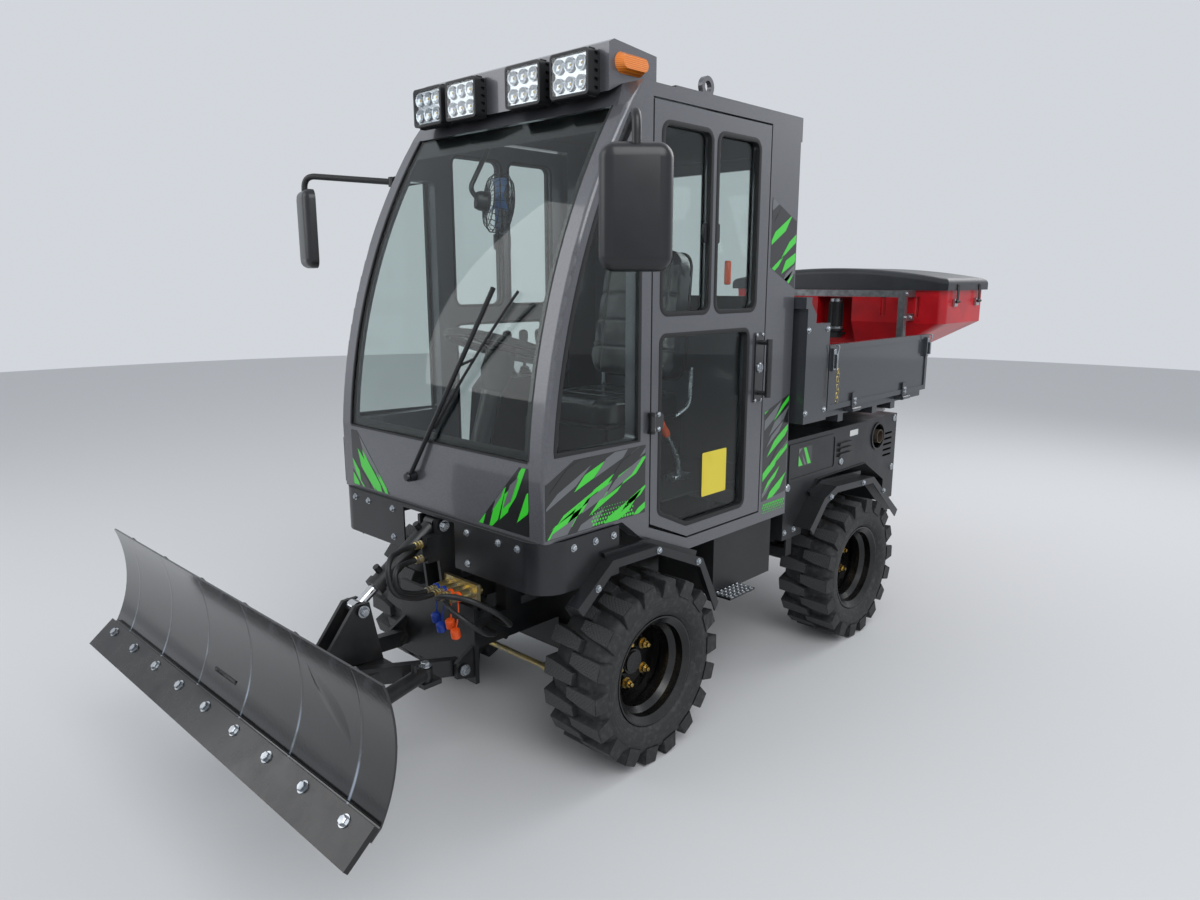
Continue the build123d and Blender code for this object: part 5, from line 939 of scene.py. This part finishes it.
def foam_pad(name, outline, depth, matrix, cap, channels):
    """Covered foam pad: a prism of the outline, inflated by a cloth run, then sewn in along lines of local y."""
    block = linked(name + "_block",
                   mesh_of(name + "_block", add_prism(bmesh.new(), outline, depth, bevel=0.016, rings=3)))
    cut = block.modifiers.new("voxels", "REMESH")
    cut.mode = "VOXEL"
    cut.voxel_size = 0.006
    start = result_of(block)
    before = [v.co.copy() for v in start.vertices]
    pad = linked(name + "_pad", start)
    cloth = pad.modifiers.new("inflate", "CLOTH")
    cloth.settings.use_pressure = True
    cloth.settings.uniform_pressure_force = 4.0
    cloth.settings.effector_weights.gravity = 0.0
    cloth.point_cache.frame_start, cloth.point_cache.frame_end = 1, 20
    for frame_number in range(1, 21):
        bpy.context.scene.frame_set(frame_number)
    start = result_of(pad)
    for vertex, old in zip(start.vertices, before):
        step = vertex.co - old
        if old.z < 0.004:
            step.z = 0.0
        if step.length > cap:
            step *= cap / step.length
        vertex.co = old + step
    bpy.context.scene.frame_set(1)
    soft = linked(name + "_soft", start)
    finer = soft.modifiers.new("finer", "SUBSURF")
    finer.levels = finer.render_levels = 1
    fine = result_of(soft)
    for vertex in fine.vertices:
        x, y, z = vertex.co
        if z > depth * 0.5:
            lines = [abs(y - place) for place in channels] + [abs(abs(x) - side_channel)]
            vertex.co.z -= channel_depth * max(0.0, 1 - min(lines) / channel_reach) ** 1.5
        vertex.co = matrix @ vertex.co
    for polygon in fine.polygons:
        polygon.use_smooth = True
    fine.name = name
    piece = piece_of(name, fine, seat_vinyl)
    return piece


cushion_form = Matrix(((0, 1, 0, 0.286), (1, 0, 0, 0), (0, 0, 1, 0.986), (0, 0, 0, 1)))
cushion = foam_pad("seat_cushion", rounded(box_outline(-0.213, -0.213, 0.213, 0.213), 0.05), 0.070,
                   cushion_form, 0.008, (-0.10, -0.01, 0.08))
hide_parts("seat")
back_way = Vector((-0.090, 0, 0.5097)).normalized()
back_out = Vector((back_way.z, 0, -back_way.x))
back_form = Matrix(((0, back_way.x, back_out.x, 0.047), (1, back_way.y, back_out.y, 0),
                    (0, back_way.z, back_out.z, 1.328), (0, 0, 0, 1)))
foam_pad("seat_back", rounded([(-0.212, -0.236), (0.212, -0.236), (0.180, 0.236), (-0.180, 0.236)], 0.06), 0.072,
         back_form, 0.008, (-0.13, -0.03, 0.07))
bm = bmesh.new()
add_slab(bm, (0.086, -0.205, 0.7805), (0.496, 0.205, 0.984), 0.010, 2)
shell_outline = rounded([(-0.205, -0.235), (0.205, -0.235), (0.172, 0.232), (-0.172, 0.232)], 0.05)
add_prism(bm, shell_outline, 0.010, back_form @ Matrix.Translation((0, 0, -0.0095)), 0.003, 2)
piece_of("seat_stand", bm, black_coat)
bm = bmesh.new()
for out in (1, -1):
    bracket = bent([(0.110, out * 0.190, 0.975), (0.062, out * 0.216, 1.010), (0.055, out * 0.216, 1.150)], 0.03)
    add_tube(bm, bracket, 0.008, 8)
    add_tube(bm, [(0.10, out * 0.16, 0.786), (0.50, out * 0.16, 0.786)], 0.006, 6)
piece_of("seat_brackets", bm, bright_zinc)


# Steering wheel and levers: soft grips moulded over steel. The wheel carries a padded rim and a centre cap, and the
# levers stand in folded rubber boots with a knob each.
column_way = Vector((-0.150, 0, 0.4494)).normalized()
column_head = placed((0.761, 0, 1.2404), column_way)
bm = bmesh.new()
add_turned(bm, circle_of(0.0135, 10, 0.1745, 0.011), column_head, 56, loop=True)
add_turned(bm, [(0, 0.020), (0.046, 0.020), (0.046, 0.026), (0.038, 0.033), (0, 0.035)], column_head, 28)
add_turned(bm, [(0.032, -0.002), (0.046, -0.006), (0.052, -0.070), (0.036, -0.130), (0.032, -0.132)], column_head, 24)
piece_of("steering_wheel_grip", bm, seal_rubber)
boots, knobs = bmesh.new(), bmesh.new()
for x, lean in ((-0.130, 0.026), (-0.200, 0.014), (-0.270, 0.004), (-0.340, -0.006)):
    add_turned(boots, [(0, -0.0005), (0.026, -0.0005), (0.026, 0.004), (0.019, 0.008), (0.022, 0.013), (0.016, 0.018),
                       (0.0185, 0.023), (0.012, 0.030), (0, 0.031)],
               placed((front_axle_x + x, -0.331, 1.1098), (lean, 0, 0.120)), 18)
    add_turned(knobs, [(0, -0.004), (0.009, -0.004), (0.0148, 0.008), (0.0172, 0.026), (0.0178, 0.040),
                       (0.0150, 0.051), (0.008, 0.056), (0, 0.057)],
               placed((front_axle_x + x + lean, -0.331, 1.2200)), 18)
piece_of("lever_boots", boots, seal_rubber)
piece_of("lever_knobs", knobs, black_plastic)
bm = bmesh.new()
add_tube(bm, bent([(0.225, 0.300, 0.781), (0.235, 0.300, 0.860), (0.330, 0.300, 0.990)], 0.05), 0.009, 10)
add_slab(bm, (0.185, 0.275, 0.7800), (0.275, 0.325, 0.800), 0.003)
pedal_ys = (0.105, -0.105, -0.200)
for y in pedal_ys:
    add_tube(bm, [(0.985, y, 0.800), (0.905, y, 0.842)], 0.007, 8)
piece_of("brake_lever_and_pedal_rods", bm, bright_zinc)
bm = bmesh.new()
add_turned(bm, [(0, 0), (0.013, 0), (0.0145, 0.010), (0.0125, 0.050), (0.0155, 0.095), (0.011, 0.108), (0, 0.110)],
           placed((0.296, 0.300, 0.944), (0.094, 0, 0.130)), 16)
add_slab(bm, (0.205, 0.463, 1.445), (0.223, 0.4815, 1.520), 0.004)
piece_of("brake_grip", bm, orange_plastic)
bm = bmesh.new()
for y in pedal_ys:
    add_prism(bm, rounded(box_outline(-0.030, -0.038, 0.030, 0.038), 0.008, 3), 0.010,
              placed((0.903, y, 0.842), (-0.5, 0, 0.85), pi / 2), 0.002)
piece_of("pedal_pads", bm, seal_rubber)


# Cab fan: a small fan hung from the roof in front of the driver on a bent stem with a foot. Its blades are blue
# mouldings, and hoops and wires of black coated steel guard them.
fan_place = placed((0.660, -0.145, 1.706), (-0.86, 0.42, -0.1))
bm = bmesh.new()
hoops = ((0.094, 0.0), (0.094, 0.036), (0.078, 0.050), (0.055, 0.057), (0.030, 0.060), (0.078, -0.016), (0.045, -0.022))
for radius, height in hoops:
    add_turned(bm, circle_of(0.0018, 5, radius, height), fan_place, 40, loop=True)
add_turned(bm, [(0, 0.060), (0.018, 0.060), (0.018, 0.063), (0, 0.064)], fan_place, 20)
add_turned(bm, [(0, -0.060), (0.026, -0.058), (0.031, -0.045), (0.031, -0.014), (0, -0.014)], fan_place, 22)
hook = fan_place @ Vector((0, 0, -0.045))
stem = bent([hook, hook + Vector((0.030, -0.012, 0.035)), (0.655, -0.165, 1.880), (0.640, -0.165, 1.950)], 0.03)
add_tube(bm, stem, 0.008, 10)
add_slab(bm, (0.610, -0.195, 1.9455), (0.670, -0.135, 1.9530), 0.002)
piece_of("fan_cage", bm, black_plastic)
wire_line = ((0.018, 0.0615), (0.055, 0.0565), (0.078, 0.0500), (0.094, 0.036), (0.094, 0.0), (0.078, -0.016),
             (0.031, -0.024))
wire_pattern = mesh_of("cage_wire", add_tube(bmesh.new(), [(x, 0, z) for x, z in wire_line], 0.0011, 5))
repeated("fan_cage_wires", wire_pattern, around(fan_place, 24), black_plastic)
bm = bmesh.new()
blade_outline = rounded([(-0.032, -0.018), (0.034, -0.034), (0.034, 0.034), (-0.032, 0.018)], 0.010, 3)
for turned in around(fan_place, 4):
    pitched = turned @ Matrix.Translation((0.047, 0, 0.018)) @ Matrix.Rotation(radians(28), 4, "X")
    add_prism(bm, blade_outline, 0.002, pitched, 0.0006)
add_turned(bm, [(0, 0.004), (0.019, 0.004), (0.019, 0.026), (0.013, 0.034), (0, 0.036)], fan_place, 20)
piece_of("fan_blades", bm, moulded("blue_fan_blade", "#3d74b8", "#35669f", 0.3, 1.5, 0.1))


# Blank sheet: a plain yellow film stuck on the left door's lower pane. It stands for the printed notice there and
# carries nothing.
paper = moulded("plain_yellow_film", "#d8c63a", "#cdb92f", 0.45, 1.0, 0.1)
sheet = add_prism(bmesh.new(), rounded(box_outline(0.212, 0.770, 0.345, 0.915), 0.004, 2), 0.0003, side_plane(0.4872))
piece_of("plain_sheet_on_door", sheet, paper, "door_left")


# Engine cover: folded sheet steel, powder coated black, with a tail pipe behind its round opening, quarter-turn
# locks, flange bolts and a plain plate on each side. A square of the livery sits on its pressed panel.
cover_coat = powder_coat("powder_coated_cover_black", "#1a1c1f", "#3c3d3e", 0.34, dust_top=0.8)
dress(cover_coat, "engine_cover")
cover_y = 0.4823
worn_steel = clouded("heat_stained_steel", "#6b5f52", 0.45, 30.0, 4.0, ("#544a40", "#86796a"), metallic=0.8)
bm = bmesh.new()
for pipe in on_both(0.442, (-0.919, 0.800)):
    add_turned(bm, box_outline(0.0260, 0, 0.0290, 0.052), pipe, 28, loop=True)
piece_of("tail_pipes", bm, worn_steel)
bm = bmesh.new()
arch = [(-0.316, 0.5005), (-0.316, 0.599), (-0.410, 0.6985), (-0.808, 0.6985), (-0.987, 0.599), (-0.987, 0.5005)]
outer_arch = shifted(arch[::-1], 0.0025)[::-1]
for side in (1, -1):
    y0, y1 = sorted((side * 0.2920, side * 0.4880))
    rims = [[bm.verts.new((x, y, z)) for x, z in line]
            for line, y in ((arch, y0), (arch, y1), (outer_arch, y1), (outer_arch, y0))]
    skin(bm, [[rim[n] for rim in rims] for n in range(len(arch))])
    for n in (0, -1):
        bm.faces.new([rim[n] for rim in rims])
    add_prism(bm, arch, 0.0025, side_plane(side * 0.2895))
piece_of("wheel_arch_liners", bm, cover_coat)
bm = bmesh.new()
add_turned(bm, [(0, -0.0004), (0.015, -0.0004), (0.015, 0.002), (0.0125, 0.0045), (0.006, 0.0045), (0.0055, 0.003),
                (0, 0.003)])
add_slab(bm, (-0.0045, -0.0012, 0.0028), (0.0045, 0.0012, 0.0052), 0.0004)
lock_face = mesh_of("quarter_turn_lock", bm)
locks = on_both(cover_y, (-0.196, 0.700), (-0.600, 0.738), (-1.075, 0.860), (-1.075, 0.640))
repeated("cover_locks", lock_face, locks, bright_zinc)
cover_bolts = on_both(cover_y, (-0.185, 0.530), (-0.250, 0.530))
cover_bolts += [placed((-1.0995, y, z), (-1, 0, 0)) for y in (-0.450, 0.450) for z in (0.540, 0.690, 0.840)]
repeated("cover_bolts", panel_bolt, cover_bolts, bright_zinc)
bm = bmesh.new()
for side in (1, -1):
    add_prism(bm, rounded(box_outline(-0.735, 0.832, -0.665, 0.856), 0.003, 2), 0.0006, side_plane(side * cover_y))
piece_of("plain_white_plate", bm, moulded("plain_white_label", "#d4d5d3", "#c6c7c5", 0.4, 1.0, 0.05))
panel_layers = {color: bmesh.new() for color in vinyls}
# shards of the square, as (x, z) corners
shards = (("green", [(-0.356, 0.772), (-0.332, 0.772), (-0.300, 0.838), (-0.318, 0.838)]),
          ("grey", [(-0.322, 0.772), (-0.308, 0.772), (-0.286, 0.822)]),
          ("green", [(-0.296, 0.772), (-0.266, 0.772), (-0.266, 0.812)]),
          ("grey", [(-0.290, 0.838), (-0.266, 0.820), (-0.266, 0.838)]))
for side in (1, -1):
    plane = side_plane(side * (cover_y + 0.001))
    add_prism(panel_layers["black"], box_outline(-0.362, 0.768, -0.262, 0.842), 0.0003, plane)
    for color, shard in shards:
        add_prism(panel_layers[color], shard, 0.0002, plane @ Matrix.Translation((0, 0, 0.0003)))
for color, bm in panel_layers.items():
    piece_of(f"cover_livery_{color}", bm, vinyls[color])


# Cargo bed: folded steel in dark metallic paint. Each drop side has a pressed panel, an over-centre hook at both ends
# and strap hinges with bolted leaves. A short chain hangs from the front hook.
bed_paint = flake_paint("metallic_bed_paint", "#3a3d41", "#484b50", 0.46)
dress(bed_paint, "cargo_bed", "dropside_left", "dropside_right")
dress(moulded("buffer_rubber", "#141414", "#1d1d1d", 0.7, 3.0), "bed_buffers")
bm = bmesh.new()
add_turned(bm, circle_of(0.0014, 6, 0.0060), steps=14, loop=True)
bmesh.ops.scale(bm, vec=(1.0, 1.7, 1.0), verts=bm.verts)
link_pattern = mesh_of("chain_link", bm)
for place, side in sides:
    bm = bmesh.new()
    for x in (-0.362, -1.195):
        plane = side_plane(side * 0.5572)
        add_prism(bm, rounded(box_outline(x - 0.009, 1.132, x + 0.009, 1.208), 0.004, 2), 0.0018, plane, 0.0005)
        add_prism(bm, rounded(box_outline(x - 0.0042, 1.138, x + 0.0042, 1.192), 0.003, 2), 0.0135, plane, 0.0008)
        handle = bent([(x, side * 0.569, 1.190), (x, side * 0.575, 1.222), (x, side * 0.560, 1.2235)], 0.010)
        add_tube(bm, handle, 0.0030, 7)
    piece_of(f"dropside_{place}_hooks", bm, bright_zinc, f"dropside_{place}")
    leaf_bolts = [on_side(x, side * 0.553, z) for x in (-0.549, -0.999) for z in (0.988, 1.004)]
    repeated(f"dropside_{place}_bolts", panel_screw, leaf_bolts, bright_zinc, f"dropside_{place}", 1.1)
    links = [Matrix.Translation((-0.3625 + 0.0016 * sin(n), side * (0.5725 + 0.0008 * (n % 2)), 1.130 - 0.0152 * n))
             @ Matrix.Rotation(pi / 2, 4, "X") @ Matrix.Rotation(pi / 2 * (n % 2), 4, "Y") for n in range(8)]
    repeated(f"dropside_{place}_chain", link_pattern, links, yellow_zinc, f"dropside_{place}")
head_bolts = on_both(0.5482, *((x, z) for x in (-0.180, -0.315) for z in (0.990, 1.285)))
repeated("bed_bolts", panel_bolt, head_bolts, bright_zinc, "bed")


# Spreader: hot dip galvanised frame and spinner, a rotomoulded red hopper, and a black lid held by rubber draw
# latches. The gear motor has a bright steel can under a black cover.
galvanised = zinc_plate("galvanised_frame", "#8b8d8f", "#77797b", 0.42)
dress(galvanised, "spreader_frame", "spinner")
dress(cast_housing, "spreader_motor")
hopper_plastic = moulded("rotomoulded_red_polyethylene", "#c40d1a", "#a90a17", 0.33, 4.0, 0.12)
dress(hopper_plastic, "hopper")
lid_plastic = moulded("rotomoulded_black_polyethylene", "#202227", "#2a2c31", 0.4, 3.0)
dress(lid_plastic, "hopper_lid")
motor_axis = Matrix.Translation((-1.359, 0.020, 0))
bm = bmesh.new()
add_turned(bm, [(0, 1.3515), (0.0275, 1.3515), (0.0285, 1.3525), (0.0285, 1.3655), (0.026, 1.3675), (0, 1.3675)],
           motor_axis, 28)
add_turned(bm, box_outline(0.0330, 1.222, 0.0385, 1.232), motor_axis, 28, loop=True)
piece_of("spreader_motor_rings", bm, bright_zinc, "bed")
strap, brackets = bmesh.new(), bmesh.new()
for x in (-1.440, -1.700):
    add_slab(strap, (x - 0.011, 0.5745, 1.352), (x + 0.011, 0.5785, 1.438), 0.0012)
    add_tube(strap, [(x - 0.019, 0.5775, 1.360), (x + 0.019, 0.5775, 1.360)], 0.006, 10)
    add_slab(brackets, (x - 0.016, 0.5600, 1.338), (x + 0.016, 0.5740, 1.372), 0.002)
piece_of("lid_latch_straps", strap, seal_rubber, "bed")
piece_of("lid_latch_brackets", brackets, bright_zinc, "bed")
frame_bolts = on_both(0.4235, (-1.135, 1.000), (-1.244, 1.150), (-1.244, 1.290), (-1.244, 1.395), (-1.300, 1.290))
repeated("spreader_frame_bolts", panel_bolt, frame_bolts, bright_zinc, "bed")
vane_outline = rounded([(0.030, 0.0), (0.182, 0.0), (0.182, 0.030), (0.060, 0.038), (0.030, 0.020)], 0.004, 2)
upright = Matrix(((1, 0, 0, 0), (0, 0, -1, 0.00125), (0, 1, 0, 0), (0, 0, 0, 1)))
vane_pattern = mesh_of("spinner_vane", add_prism(bmesh.new(), vane_outline, 0.0025, upright, 0.0006))
repeated("spinner_vanes", vane_pattern, around(Matrix.Translation((-1.570, 0, 0.8058)), 6), galvanised,
         "spinner")
